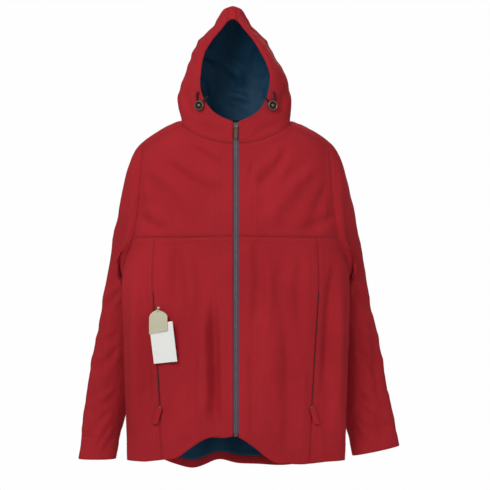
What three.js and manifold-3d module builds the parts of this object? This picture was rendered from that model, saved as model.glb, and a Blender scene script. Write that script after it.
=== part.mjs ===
// Hooded zip jacket with a woven shell, hung up and zipped to the top.
// Millimetres, +Z up. The front faces -Y, and the wearer's left side is at +X.
// The origin is where the hang loop inside the back neck takes the hook.
import * as THREE from 'three';
import Module from 'manifold-3d';

const wasm = await Module();
wasm.setup();

// Body of the jacket
const chestHalf = 256;        // half width just below the armpits
const yokeHalf = 229;         // half width at the yoke seam
const shoulderHalf = 213;     // half width at the shoulder tips
const hemHalf = 246;          // half width at the hem
const frontDepth = 70;        // how far the zip stands in front of the side edges
const backDepth = 52;         // how far the back stands behind the side edges
const bodyLength = 698;       // from the back neck down to the hem beside the zip
const backDrop = 70;          // how much lower the back hem hangs
const armpitDrop = 350;
const yokeDrop = 258;
const yokeSideDrop = 10;      // the yoke seam falls this much towards the armhole
const backYokeDrop = 236;
const shoulderRound = 70;     // height over which the shoulder rounds down to full depth
const shoulderSlope = 0.53;
const frontSeamRoll = 0.72;   // the shoulder seam lies this far forward of the ridge, in radians
const sideSeamTurn = 1.15;    // 1 is the side edge, 2 the centre back

// Neck and hood
const neckHalf = 120;
const frontNeckDrop = 60;
const backNeckDrop = 12;
const zipTopDrop = 10;
const hoodHeight = 251;       // highest point over the back neck
const hoodHalf = 126;
const openingHalf = 77;       // half width of the face opening
const openingHeight = 218;
const hoodBackDepth = 76;     // how far the hood stands behind the side edges
const stripHalf = 15;         // half width of the hood's centre strip over the head

// Sleeves
const sleeveEndDrop = 757;
const cuffOut = 47;           // the cuff's middle stands this far outside the chest
const cuffY = 50;
const cuffHalf = 54;
const cuffDepth = 26;
const bicepHalf = 54;
const bicepDepth = 44;
const cuffHem = 60;

// Fabric
const shellWall = 2.4;
const liningWall = 1.0;
const facingWall = 1.2;
const layerGap = 0.6;         // between the shell and the layer inside it
const hoodLayerGap = 0.9;
const bagWall = 2.2;
const bodyLiningGap = bagWall + 2 * layerGap;   // the body lining hangs behind the pocket bags
const seamGap = 0.6;          // left between panels that are sewn together
const hemFacing = 34;
const sleeveClearance = 16;   // the sleeve's underside stays this far off the body's side
const armholeGap = 0.7;        // the sleeves stand this far off the body's armholes
const neckMargin = shellWall / 4;   // the hood and the yokes draw back this far where they meet

// Main zip
const zipSlot = 13.6;         // between the two front edges
const tapeWidth = 14;
const tapeWall = 0.8;
const toothReach = 2.6;
const toothDepth = 2.8;
const zipEndGap = 8;
const sliderWidth = 9;
const sliderLength = 15;
const sliderPlate = 1.6;
const runGap = 0.4;
const zipFootBox = { width: 9, depth: 3.4, height: 6 };   // the box that closes the zip's foot
const pullLength = 27;
const pullWidth = 7;
const pullWall = 1.6;

// Hand pockets, in the seam between the centre and side front panels
const pocketTop = { x: 182, z: -374 };
const pocketEnd = { x: 165, z: -650 };
const pocketSlot = 8;
const pocketTape = 1.6;
const pocketSlider = { width: 6.4, length: 9, depth: 3 };
const earHeight = 4.2;       // the slider's two ears, which hold the pull's pin
const earX = 3.5;
const earWall = 1.2;
const pinRadius = 1.2;
const pinStandOff = 2.4;
const pocketPull = { width: 13, length: 36, wall: 1.6, lean: 0.35 };

// Hood toggles and their elastic
const toggle = { col: 1.75, row: 2.3, seat: 1.2, radius: 11, depth: 6, hole: 2.6, pitch: 9 };
const elastic = 3.2;

// Swing tags, hanging from the top of the wearer's right pocket
const clothTag = { width: 50, height: 76, wall: 1.2 };
const cardTag = { width: 55, height: 74, wall: 0.8 };
const tagThread = { width: 4, depth: 8, height: 5, inward: 14, drop: 40 };   // its place from the pocket's top

// Hang loop and the plain label below it
const hangLoop = { width: 46, height: 16, band: 7, wall: 2, gap: 6 };
const neckLabel = { width: 54, height: 22, wall: 0.8 };
const labelSeat = 2;

const red = { color: 0xa8272e, roughness: 0.85, metalness: 0 };
const teal = { color: 0x0f4c68, roughness: 0.7, metalness: 0 };
const tapeBlue = { color: 0x3a5f80, roughness: 0.8, metalness: 0 };
const bronze = { color: 0x6d5a48, roughness: 0.4, metalness: 0.9 };
const black = { color: 0x15151a, roughness: 0.8, metalness: 0 };
const cream = { color: 0xdcd8bd, roughness: 0.9, metalness: 0 };
const card = { color: 0xe4e3de, roughness: 0.6, metalness: 0 };

const vec = (x, y, z) => new THREE.Vector3(x, y, z);
const lerp = THREE.MathUtils.lerp;
const smooth = THREE.MathUtils.smoothstep;
const quarter = Math.PI / 2;

// ---------------------------------------------------------------- body surface

function bodyHalf(z) {
  if (z > -yokeDrop) return lerp(shoulderHalf, yokeHalf, Math.min(1, -z / yokeDrop));
  if (z > -armpitDrop) return lerp(yokeHalf, chestHalf, smooth(-z, yokeDrop, armpitDrop));
  return lerp(chestHalf, hemHalf, (-z - armpitDrop) / (bodyLength - armpitDrop));
}

// turn runs round the body: 0 centre front, 1 side edge, 2 centre back
function bodyPoint(turn, z) {
  const angle = turn * quarter;
  const depth = Math.cos(angle) > 0 ? frontDepth : backDepth;
  return vec(bodyHalf(z) * Math.sin(angle), -depth * Math.cos(angle), z);
}

const turnAt = (x, z) => Math.asin(Math.min(1, x / bodyHalf(z))) / quarter;
const shoulderLine = (x) => (neckHalf - x) * shoulderSlope;

// roll runs over the shoulder: positive in front, 0 on the ridge, negative behind
function shoulderPoint(x, roll) {
  const bend = Math.abs(roll);
  const fall = bend < quarter ? 1 - Math.cos(bend) : 1 + bend - quarter;
  const z = shoulderLine(x) - shoulderRound * fall;
  const full = bend < quarter ? Math.sin(bend) : 1;
  const across = Math.sqrt(Math.max(0, 1 - (x / bodyHalf(z)) ** 2));
  return vec(x, (roll > 0 ? -frontDepth : backDepth) * full * across, z);
}

function rollAt(x, z, side) {
  const fall = (shoulderLine(x) - z) / shoulderRound;
  const bend = fall < 1 ? Math.acos(1 - Math.max(0, fall)) : quarter + fall - 1;
  return side * bend;
}

const yokeZ = (x) => -yokeDrop - yokeSideDrop * (x / yokeHalf);
const backYokeZ = (x) => -backYokeDrop - yokeSideDrop * (x / yokeHalf);

// Front hem: short beside the zip, then dropping in a round corner to the longer sides
const hemZ = (x) => -bodyLength - (backDrop - 14) * smooth(x, 16, 118);
const backHemZ = (x) => -bodyLength - backDrop + 14 * smooth(x, 110, hemHalf);

// ---------------------------------------------------------------- panel grids
// A grid is an array of columns of points. Neighbouring grids share their edge points.

function coons(cols, rows, point, low, high, left, right) {
  // low, high: [a, b] along columns; left, right: [a, b] along rows
  const grid = [];
  for (let i = 0; i <= cols; i++) {
    const s = i / cols;
    grid.push([]);
    for (let j = 0; j <= rows; j++) {
      const t = j / rows;
      const mix = [0, 1].map((k) =>
        lerp(left[j][k], right[j][k], s) + lerp(low[i][k], high[i][k], t)
        - lerp(lerp(left[0][k], right[0][k], s), lerp(left[rows][k], right[rows][k], s), t));
      grid[i].push(point(mix[0], mix[1]));
    }
  }
  return grid;
}

const steps = (n, f) => Array.from({ length: n + 1 }, (_, i) => f(i / n, i));

const centreCols = 5;
const sideCols = 4;
const panelRows = 9;
const armRows = 3;
const lowRows = panelRows - armRows;
const yokeRows = 5;
const backYokeRows = 7;
const zipEdge = zipSlot / 2;

// row heights as shares of the way from the hem to the armpit or the pocket's top
const pocketX = (z) => lerp(pocketEnd.x, pocketTop.x, (z - pocketEnd.z) / (pocketTop.z - pocketEnd.z));
function pocketSeamZ(j) {
  const hem = hemZ(pocketX(-bodyLength));
  if (j === 0) return hem;
  if (j === 1) return hem + hemFacing;
  if (j <= lowRows) return lerp(pocketEnd.z, pocketTop.z, (j - 2) / (lowRows - 2));
  return lerp(pocketTop.z, yokeZ(pocketTop.x), (j - lowRows) / armRows);
}
function sideSeamZ(j) {
  const hem = hemZ(hemHalf);
  if (j === 0) return hem;
  if (j === 1) return hem + hemFacing;
  return lerp(pocketEnd.z, -armpitDrop, (j - 2) / (lowRows - 2));
}
function zipSideZ(j) {
  if (j === 0) return -bodyLength;
  if (j === 1) return -bodyLength + hemFacing * 0.7;
  return lerp(pocketEnd.z + 20, -yokeDrop, (j - 2) / (panelRows - 2));
}

const zipColumn = steps(panelRows, (t, j) => [turnAt(zipEdge, zipSideZ(j)), zipSideZ(j)]);
const pocketColumn = steps(panelRows, (t, j) => {
  const z = pocketSeamZ(j);
  return [turnAt(pocketX(Math.min(z, pocketTop.z)), z), z];
});
const frontArmTurn = 0.86;    // where the armhole crosses the front yoke seam
const backArmTurn = 1.30;     // and the back yoke seam
function armColumn(topTurn, topZ) {
  return steps(panelRows, (t, j) => {
    if (j <= lowRows) return [sideSeamTurn, sideSeamZ(j)];
    const k = (j - lowRows) / armRows;
    return [lerp(sideSeamTurn, topTurn, k), lerp(-armpitDrop, topZ, k ** 0.8)];
  });
}
const frontArmZ = yokeZ(bodyHalf(-yokeDrop) * 0.97);
const frontArm = armColumn(frontArmTurn, frontArmZ);
const backArmZ = backYokeZ(bodyHalf(-backYokeDrop) * 0.9);
const backArm = armColumn(backArmTurn, backArmZ);

function hemRow(cols, from, to, drop) {
  return steps(cols, (s) => {
    const turn = lerp(from, to, s);
    const x = hemHalf * Math.sin(turn * quarter);
    return [turn, drop(x)];
  });
}
function seamRow(cols, from, to, drop) {
  return steps(cols, (s) => {
    const turn = lerp(from[0], to[0], s);
    const share = (turn - from[0]) / (to[0] - from[0]);
    return [turn, lerp(from[1], to[1], share) + drop(share)];
  });
}

const flat = () => 0;
const centreTop = seamRow(centreCols, zipColumn[panelRows], pocketColumn[panelRows], flat);
const sideTop = seamRow(sideCols, pocketColumn[panelRows], frontArm[panelRows], flat);
const frontCentre = coons(centreCols, panelRows, bodyPoint,
  hemRow(centreCols, zipColumn[0][0], pocketColumn[0][0], hemZ), centreTop, zipColumn, pocketColumn);
const frontSide = coons(sideCols, panelRows, bodyPoint,
  hemRow(sideCols, pocketColumn[0][0], sideSeamTurn, hemZ), sideTop, pocketColumn, frontArm);

// Front yoke: its lower edge takes the panels' top points, its upper edge is neck seam and shoulder seam
const neckCols = centreCols;
const shoulderCols = sideCols;
const frontCols = neckCols + shoulderCols;
const neckCornerX = neckHalf - 3;
const shoulderTipX = shoulderHalf - 7;
const toRoll = ([turn, z]) => {
  const p = bodyPoint(turn, z);
  return [p.x, rollAt(p.x, p.z, 1)];
};
const frontNeck = steps(neckCols, (s) => {
  const x = lerp(zipEdge, neckCornerX, Math.sin(s * quarter) * 0.4 + s * 0.6);
  const corner = shoulderLine(neckCornerX) - shoulderRound * (1 - Math.cos(frontSeamRoll));
  const z = lerp(-frontNeckDrop, corner, (x / neckCornerX) ** 2);
  return s === 1 ? [x, frontSeamRoll] : [x, rollAt(x, z, 1)];
});
const shoulderSeam = steps(shoulderCols, (s) => [lerp(neckCornerX, shoulderTipX, s), frontSeamRoll]);
const yokeLow = [...centreTop, ...sideTop.slice(1)].map(toRoll);
const yokeHigh = [...frontNeck, ...shoulderSeam.slice(1)];
const yokeLeft = steps(yokeRows, (t) => [zipEdge, lerp(yokeLow[0][1], yokeHigh[0][1], t)]);
const yokeRight = steps(yokeRows, (t) => {
  const low = yokeLow[frontCols];
  const high = yokeHigh[frontCols];
  return [lerp(low[0], high[0], t) - 9 * Math.sin(Math.PI * t) * (1 - t), lerp(low[1], high[1], t ** 0.9)];
});
const frontYoke = coons(frontCols, yokeRows, shoulderPoint, yokeLow, yokeHigh, yokeLeft, yokeRight);

// Back panel and back yoke, half of each, from the side to the centre
const backNeckCols = 5;
const backCols = shoulderCols + backNeckCols;
const halfBackTop = seamRow(backCols, backArm[panelRows], [2, -backYokeDrop], flat);
const centreBack = steps(panelRows, (t, j) => {
  if (j === 0) return [2, backHemZ(0)];
  if (j === 1) return [2, backHemZ(0) + hemFacing];
  return [2, lerp(pocketEnd.z, -backYokeDrop, (j - 2) / (panelRows - 2))];
});
const backHemRow = hemRow(backCols, sideSeamTurn, 2, backHemZ);
backHemRow[0] = frontArm[0];
const backPanel = coons(backCols, panelRows, bodyPoint, backHemRow, halfBackTop, backArm, centreBack);

const backNeckX = (k) => (k === 0 ? neckCornerX : neckHalf * Math.cos((k - 1) * quarter / (backNeckCols - 1)));
const backNeck = steps(backNeckCols, (s, k) => {
  const x = backNeckX(k);
  if (k === 0) return [x, frontSeamRoll];
  if (k === 1) return [x, 0];
  return [x, rollAt(x, -backNeckDrop * (1 - (x / neckHalf) ** 2), -1)];
});
const toBackRoll = ([turn, z]) => {
  const p = bodyPoint(turn, z);
  return [Math.abs(p.x) < 1e-9 ? 0 : p.x, rollAt(p.x, p.z, -1)];
};
const backYokeLow = halfBackTop.map(toBackRoll);
const backYokeHigh = [...shoulderSeam.slice().reverse(), ...backNeck.slice(1)];
const backYokeArm = steps(backYokeRows, (t) => {
  const low = backYokeLow[0];
  const high = backYokeHigh[0];
  const x = lerp(low[0], high[0], t) - 7 * Math.sin(Math.PI * t) * (1 - t);
  return [x, lerp(low[1], high[1], t)];
});
const backYokeMid = steps(backYokeRows,
  (t) => [0, lerp(backYokeLow[backCols][1], backYokeHigh[backCols][1], t)]);
const backYoke = coons(backCols, backYokeRows, shoulderPoint,
  backYokeLow, backYokeHigh, backYokeArm, backYokeMid);

// ---------------------------------------------------------------- hood grids
// Rows run up from the neck seam to the forehead. Columns run from the face opening
// round the side of the head to the centre strip.

const hoodRows = 10;
const faceCols = neckCols;
const hoodCols = faceCols + 1 + (backNeckCols - 2);
const forehead = vec(stripHalf, -30, openingHeight - 3);
const zipY = frontYoke[0][yokeRows].y;
const openingLine = new THREE.CatmullRomCurve3([
  vec(zipEdge, zipY, -zipTopDrop), vec(50, zipY + 4, 9), vec(openingHalf - 8, zipY + 9, 42),
  vec(openingHalf, zipY + 14, 84), vec(openingHalf - 8, zipY + 22, 128), vec(openingHalf - 25, zipY + 31, 163),
  vec(32, zipY + 38, 192), forehead,
], false, 'centripetal');
const hoodSideLine = new THREE.CatmullRomCurve3([
  vec(neckHalf, 0, 0), vec(hoodHalf, 2, 26), vec(hoodHalf - 4, 4, 56), vec(115, 5, 88), vec(103, 4, 120),
  vec(88, 2, 147), vec(66, -2, 176), vec(44, -8, 204), vec(25, -17, 230), forehead,
], false, 'centripetal');
const stripLine = new THREE.CatmullRomCurve3([
  shoulderPoint(backNeck[backNeckCols - 1][0], backNeck[backNeckCols - 1][1]),
  vec(38, hoodBackDepth - 8, 45), vec(32, hoodBackDepth - 4, 100), vec(26, hoodBackDepth - 16, 160),
  vec(20, hoodBackDepth - 44, 212), vec(stripHalf, 4, hoodHeight - 7), vec(stripHalf, -16, hoodHeight - 12),
  forehead,
], false, 'centripetal');
const neckRow = [
  ...frontYoke.slice(0, neckCols + 1).map((column) => column[yokeRows]),
  ...backYoke.slice(shoulderCols + 1, backCols).map((column) => column[backYokeRows]),
];
function hoodRowShape(row, i) {
  const t = row / hoodRows;
  const face = row === 0
    ? vec(zipEdge, zipY, -frontNeckDrop) : openingLine.getPoint((row - 1) / (hoodRows - 1));
  const side = hoodSideLine.getPoint(t);
  const strip = stripLine.getPoint(t);
  if (i <= faceCols) {
    const a = i / (faceCols + 1) * quarter;
    const [across, back] = [Math.sin(a), Math.cos(a)];
    return vec(lerp(face.x, side.x, across), lerp(side.y, face.y, back), lerp(face.z, side.z, across));
  }
  const a = (i - faceCols - 1) / (hoodCols - faceCols - 1) * quarter;
  const [across, back] = [Math.cos(a), Math.sin(a)];
  return vec(lerp(strip.x, side.x, across), lerp(side.y, strip.y, back), lerp(side.z, strip.z, back));
}
const hoodSide = steps(hoodCols, (s, i) => steps(hoodRows, (t, j) => {
  if (j === 0) return neckRow[i].clone();
  if (j === hoodRows) return forehead.clone();
  const fit = neckRow[i].clone().sub(hoodRowShape(0, i));
  return hoodRowShape(j, i).addScaledVector(fit, (1 - j / hoodRows) ** 4);
}));
const backNeckMid = backYoke[backCols][backYokeRows];
const stripSide = hoodSide[hoodCols];
const hoodStrip = [stripSide, stripSide.map((p, j) => {
  if (j === 0) return backNeckMid.clone();
  const next = stripSide[Math.min(j + 1, hoodRows)];
  const last = stripSide[j - 1];
  const along = next.clone().sub(last).normalize();
  const crown = 0.22 * p.x;
  return vec(0, p.y + crown * along.z, p.z - crown * along.y);
})];

// ---------------------------------------------------------------- sheets of quads

const mirrorPoint = (p) => vec(-p.x, p.y, p.z);
const mirrorGrid = (grid) => grid.map((column) => column.map(mirrorPoint)).reverse();
const slice = (grid, c0, c1, r0, r1) => grid.slice(c0, c1 + 1).map((column) => column.slice(r0, r1 + 1));
const both = (grid) => [grid, mirrorGrid(grid)];
const keyOf = (p) => [p.x, p.y, p.z].map((c) => Math.round(c * 200)).join();
const faceNormal = ([a, b, c]) => b.clone().sub(a).cross(c.clone().sub(a));

function cells(grid) {
  const list = [];
  for (let i = 0; i + 1 < grid.length; i++) {
    for (let j = 0; j + 1 < grid[i].length; j++) {
      const corners = [grid[i][j], grid[i + 1][j], grid[i + 1][j + 1], grid[i][j + 1]];
      list.push([corners[0], corners[1], corners[2]], [corners[0], corners[2], corners[3]]);
    }
  }
  return list.filter(([a, b, c]) => keyOf(a) !== keyOf(b) && keyOf(b) !== keyOf(c) && keyOf(a) !== keyOf(c));
}

// Outward normals at every grid point, shared by the panels that are sewn together there
const normals = new Map();
function gatherNormals(grids) {
  const fresh = new Set();
  for (const face of grids.flatMap(both).flatMap(cells)) {
    const n = faceNormal(face);
    for (const p of face) {
      const key = keyOf(p);
      if (!normals.has(key)) normals.set(key, vec(0, 0, 0));
      normals.get(key).add(n);
      fresh.add(key);
    }
  }
  for (const key of fresh) normals.get(key).normalize();
}
gatherNormals([frontCentre, frontSide, frontYoke, backPanel, backYoke, hoodSide, hoodStrip]);

// ---------------------------------------------------------------- sleeve grid
// The first ring is the armhole: front panel, front yoke, back yoke, back panel and round again.

const armhole = [
  ...frontSide[sideCols].slice(lowRows, panelRows),
  ...frontYoke[frontCols].slice(0, yokeRows),
  ...backYoke[0].slice(1).reverse(),
  ...backPanel[0].slice(lowRows + 1).reverse(),
];
const armSpokes = armhole.length;
const capRows = 6;
const armRowsLow = 6;
const sleeveRows = capRows + armRowsLow + 1;
const tipSpoke = armRows + yokeRows + 2;
const bicepZ = -armpitDrop - 75;
const sleeveLine = new THREE.CatmullRomCurve3([
  vec(chestHalf - 13, 76, bicepZ), vec(chestHalf + 5, 70, bicepZ - 110), vec(chestHalf + 26, 61, bicepZ - 220),
  vec(chestHalf + cuffOut, cuffY, -sleeveEndDrop),
]);
const ringTilt = [0.16, -0.08];      // how far a ring's outer side hangs lower: at the biceps, and at the cuff
const frontFan = 1.9;         // crowds the front spokes towards the outer side, clear of the body's edge
// A spoke's place round the sleeve: the armpit is at the inner side, the shoulder tip at the outer side
function spokeAngle(k) {
  if (k <= tipSpoke) return Math.PI * (1 - k / tipSpoke) ** frontFan;
  return -Math.PI * (k - tipSpoke) / (armSpokes - tipSpoke);
}
function sleevePoint(k, along) {
  const centre = sleeveLine.getPoint(along);
  const half = lerp(bicepHalf, cuffHalf, along);
  const depth = lerp(bicepDepth, cuffDepth, along);
  const angle = spokeAngle(k);
  return vec(centre.x + half * Math.cos(angle), centre.y - depth * Math.sin(angle),
    centre.z - lerp(...ringTilt, along) * half * Math.cos(angle));
}
const armholeCentre = armhole.reduce((sum, p) => sum.add(p), vec(0, 0, 0)).divideScalar(armSpokes);
const cuffShare = 1 - cuffHem / (sleeveEndDrop + bicepZ);
function sleeveCap(k) {
  const skin = normals.get(keyOf(armhole[k]));
  const start = armhole[k].clone().addScaledVector(skin, armholeGap);
  const end = sleevePoint(k, 0);
  const below = sleevePoint(k, 0.1).sub(end).normalize();
  const out = start.clone().sub(armholeCentre);
  const push = skin.clone().multiplyScalar(20).add(vec(32, out.y > 0 ? 8 : 0, -12 * smooth(out.z, -60, 60)));
  const reach = start.distanceTo(end) * 0.34;
  const before = end.clone().addScaledVector(below, -reach);
  return new THREE.CubicBezierCurve3(start, start.clone().add(push), before, end);
}
// Moves a sleeve point out to a clearance off the body's side
function clearOfBody(p, gap) {
  const depth = p.y < 0 ? frontDepth : backDepth;
  const share = Math.hypot(p.x / bodyHalf(p.z), p.y / depth);
  const least = 1 + gap / Math.hypot(p.x, p.y);
  if (p.z < -shoulderRound && share < least) {
    p.x *= least / share;
    p.y *= least / share;
  }
  return p;
}
const sleeve = steps(armSpokes, (s, spoke) => {
  const k = spoke % armSpokes;
  const cap = sleeveCap(k);
  const column = [];
  for (let j = 0; j <= sleeveRows; j++) {
    if (j <= capRows) {
      const p = cap.getPoint(j / capRows);
      column.push(j === 0 ? p : clearOfBody(p, Math.min(1, j / 2) * sleeveClearance));
    }
    else if (j < sleeveRows) {
      column.push(clearOfBody(sleevePoint(k, cuffShare * (j - capRows) / armRowsLow), sleeveClearance));
    }
    else column.push(sleevePoint(k, 1));
  }
  return column;
}).reverse();
gatherNormals([sleeve]);

// A closed shell from sheets that share edges: outer side at -inset, inner side a wall deeper.
// margin gives how far an edge draws back from its seam.
function shell(grids, inset, wall, margin = () => seamGap / 2) {
  const index = new Map();
  const points = [];
  const faces = grids.flatMap(cells).map((face) => face.map((p) => {
    const key = keyOf(p);
    if (!index.has(key)) {
      index.set(key, points.length);
      points.push(p.clone());
    }
    return index.get(key);
  }));
  const edges = new Map();
  for (const face of faces) {
    face.forEach((a, k) => {
      const b = face[(k + 1) % 3];
      if (edges.has(`${b},${a}`)) edges.delete(`${b},${a}`);
      else edges.set(`${a},${b}`, [a, b, faceNormal(face.map((v) => points[v])).normalize()]);
    });
  }
  const pulls = points.map(() => []);
  for (const [a, b, n] of edges.values()) {
    const inward = n.clone().cross(points[b].clone().sub(points[a])).normalize();
    pulls[a].push(inward);
    pulls[b].push(inward);
  }
  const normalAt = points.map((p) => normals.get(keyOf(p)).clone());
  const moved = points.map((p, v) => {
    if (pulls[v].length === 0) return p.clone();
    const [first, second] = [pulls[v][0], pulls[v][1] ?? pulls[v][0]];
    const turn = Math.max(0.35, 1 + first.dot(second));
    return p.clone().addScaledVector(first.clone().add(second), margin(p) / turn);
  });
  const outer = moved.map((p, v) => p.clone().addScaledVector(normalAt[v], -inset));
  const inner = moved.map((p, v) => p.clone().addScaledVector(normalAt[v], -inset - wall));
  const count = points.length;
  const triangles = [];
  for (const [a, b, c] of faces) triangles.push(a, b, c, count + c, count + b, count + a);
  for (const [a, b] of edges.values()) triangles.push(b, a, count + a, b, count + a, count + b);
  const geometry = new THREE.BufferGeometry();
  geometry.setAttribute('position', new THREE.Float32BufferAttribute(
    [...outer, ...inner].flatMap((p) => p.toArray()), 3));
  geometry.setIndex(triangles);
  return geometry;
}

// ---------------------------------------------------------------- joining and cutting

function toSolid(geometry) {
  const index = geometry.index ? Array.from(geometry.index.array) : null;
  const position = geometry.attributes.position;
  const seen = new Map();
  const verts = [];
  const remap = [];
  for (let v = 0; v < position.count; v++) {
    const p = [position.getX(v), position.getY(v), position.getZ(v)];
    const key = p.map((c) => Math.round(c * 1e4)).join();
    if (!seen.has(key)) {
      seen.set(key, verts.length / 3);
      verts.push(...p);
    }
    remap.push(seen.get(key));
  }
  const corners = (index ?? remap.map((_, v) => v)).map((v) => remap[v]);
  const tris = [];
  for (let t = 0; t < corners.length; t += 3) {
    const [a, b, c] = corners.slice(t, t + 3);
    if (a !== b && b !== c && a !== c) tris.push(a, b, c);
  }
  return new wasm.Manifold(new wasm.Mesh({
    numProp: 3, vertProperties: new Float32Array(verts), triVerts: new Uint32Array(tris) }));
}
function fromSolid(solid) {
  const mesh = solid.getMesh();
  const geometry = new THREE.BufferGeometry();
  geometry.setAttribute('position', new THREE.Float32BufferAttribute(Array.from(mesh.vertProperties), 3));
  geometry.setIndex(Array.from(mesh.triVerts));
  return geometry;
}
const join = (...parts) => fromSolid(parts.map(toSolid).reduce((a, b) => a.add(b)));
const cut = (body, ...tools) => fromSolid(tools.map(toSolid).reduce((a, b) => a.subtract(b), toSolid(body)));

const box = (w, d, h, x = 0, y = 0, z = 0) => new THREE.BoxGeometry(w, d, h).translate(x, y, z);
const rodX = (radius, length, x = 0, y = 0, z = 0, sides = 12) =>
  new THREE.CylinderGeometry(radius, radius, length, sides).rotateZ(quarter).translate(x, y, z);
const rodY = (radius, length, x = 0, y = 0, z = 0, sides = 20) =>
  new THREE.CylinderGeometry(radius, radius, length, sides).translate(x, y, z);

function plate(shape, wall) {
  // an outline in X and Z, its thickness centred on Y
  return new THREE.ExtrudeGeometry(shape, { depth: wall, bevelEnabled: false, curveSegments: 6 })
    .translate(0, 0, -wall / 2).rotateX(quarter);
}
function tube(points, diameter) {
  const path = new THREE.CatmullRomCurve3(points);
  const section = new THREE.Shape();
  for (let k = 0; k < 8; k++) {
    const a = k * Math.PI / 4;
    section[k ? 'lineTo' : 'moveTo'](diameter / 2 * Math.cos(a), diameter / 2 * Math.sin(a));
  }
  section.closePath();
  const count = Math.max(3, Math.round(path.getLength() / (diameter * 2)));
  return new THREE.ExtrudeGeometry(section, { steps: count, bevelEnabled: false, extrudePath: path });
}

// ---------------------------------------------------------------- scene graph

const jacket = new THREE.Group();
jacket.name = 'jacket';
// the hang loop's hook point is the origin
const loopDepth = hangLoop.wall + hangLoop.gap;
const loopSeat = shellWall + hoodLayerGap + liningWall + 1.9;   // clear of the hood lining's lower edge
const loopY = backNeckMid.y - loopSeat - loopDepth / 2;
jacket.position.set(0, -loopY, 0);

function add(name, geometry, finish, parent = jacket) {
  const mesh = new THREE.Mesh(geometry, new THREE.MeshStandardMaterial({ ...finish, name }));
  mesh.name = name;
  parent.add(mesh);
  return mesh;
}
const sides = [['left', 1], ['right', -1]];
const onSide = (grid, sign) => (sign > 0 ? grid : mirrorGrid(grid));

// The pocket mouth is a slot in the seam between the centre and side panels
const slotMargin = (p) => {
  const inSlot = p.z < pocketTop.z + 1 && p.z > pocketEnd.z - 1;
  const onSeam = Math.abs(Math.abs(p.x) - pocketX(p.z)) < 1 && p.y < 0;
  return inSlot && onSeam ? pocketSlot / 2 : seamGap / 2;
};

const yokeMargin = (p) => (p.z > -armpitDrop / 3 ? neckMargin : seamGap / 2);
const hoodMargin = (p) => (p.z < 10 && Math.abs(p.x) > neckHalf - 10 ? 3 * neckMargin : seamGap / 2);

// Shell
for (const [side, sign] of sides) {
  add(`front_centre_${side}`, shell([onSide(frontCentre, sign)], 0, shellWall, slotMargin), red);
  add(`front_side_${side}`, shell([onSide(frontSide, sign)], 0, shellWall, slotMargin), red);
  add(`front_yoke_${side}`, shell([onSide(frontYoke, sign)], 0, shellWall, yokeMargin), red);
  add(`sleeve_${side}`, shell([onSide(sleeve, sign)], 0, shellWall), red);
  add(`hood_side_${side}`, shell([onSide(hoodSide, sign)], 0, shellWall, hoodMargin), red);
}
add('back_panel', shell(both(backPanel), 0, shellWall), red);
add('back_yoke', shell(both(backYoke), 0, shellWall, yokeMargin), red);
add('hood_centre', shell(both(hoodStrip), 0, shellWall), red);

// Facings: the turned bands inside the hem, the cuffs and the face opening
const facingInset = shellWall + layerGap;
for (const [side, sign] of sides) {
  const hemBand = [slice(frontCentre, 1, centreCols, 0, 1), slice(frontSide, 0, sideCols, 0, 1)];
  add(`hem_facing_${side}`, shell(hemBand.map((g) => onSide(g, sign)), facingInset, facingWall), red);
  add(`cuff_facing_${side}`,
    shell([onSide(slice(sleeve, 0, armSpokes, sleeveRows - 1, sleeveRows), sign)],
      facingInset, facingWall), red);
}
add('hem_facing_back', shell(both(slice(backPanel, 0, backCols, 0, 1)), facingInset, facingWall), red);
add('hood_facing', shell([
  ...both(slice(hoodSide, 0, 1, 1, hoodRows - 1)),
  ...both(slice(hoodSide, 1, hoodCols, hoodRows - 2, hoodRows - 1)),
  ...both(slice(hoodStrip, 0, 1, hoodRows - 2, hoodRows - 1)),
], shellWall + hoodLayerGap, facingWall), red);

// Lining
const bodyInset = shellWall + bodyLiningGap;
for (const [side, sign] of sides) {
  const front = [slice(frontCentre, 1, centreCols, 1, panelRows), slice(frontSide, 0, sideCols, 1, panelRows),
    slice(frontYoke, 1, frontCols, 0, yokeRows)];
  add(`lining_front_${side}`, shell(front.map((g) => onSide(g, sign)), bodyInset, liningWall), teal);
  add(`lining_sleeve_${side}`,
    shell([onSide(slice(sleeve, 0, armSpokes, capRows - 1, sleeveRows - 1), sign)],
      facingInset, liningWall), teal);
}
add('lining_back', shell([
  ...both(slice(backPanel, 0, backCols, 1, panelRows)),
  ...both(slice(backYoke, 0, backCols, 0, backYokeRows - 2)),
], bodyInset, liningWall), teal);
add('lining_hood', shell([
  ...both(slice(hoodSide, 1, hoodCols, 0, hoodRows - 2)), ...both(slice(hoodStrip, 0, 1, 0, hoodRows - 2)),
], shellWall + hoodLayerGap, liningWall, () => neckMargin), teal);

// Main zip: two tapes, two rows of teeth, end stop, slider in two plates and its pull
const zipTop = -zipTopDrop - 2;
const zipFoot = -bodyLength + zipEndGap;
const zipLength = zipTop - zipFoot;
const zipMid = (zipTop + zipFoot) / 2;
const panelInnerY = zipY + shellWall;
const tapeY = panelInnerY + layerGap + tapeWall / 2;
for (const [side, sign] of sides) {
  add(`zip_tape_${side}`,
    box(tapeWidth, tapeWall, zipLength), tapeBlue)
    .position.set(sign * (toothReach + seamGap + tapeWidth / 2), tapeY, zipMid);
  add(`zip_teeth_${side}`, box(toothReach, toothDepth, zipLength), bronze)
    .position.set(sign * (seamGap / 2 + toothReach / 2), tapeY, zipMid);
}
add('zip_end_box', box(zipFootBox.width, zipFootBox.depth, zipFootBox.height), bronze)
  .position.set(0, tapeY, zipFoot - seamGap - zipFootBox.height / 2);

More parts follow.
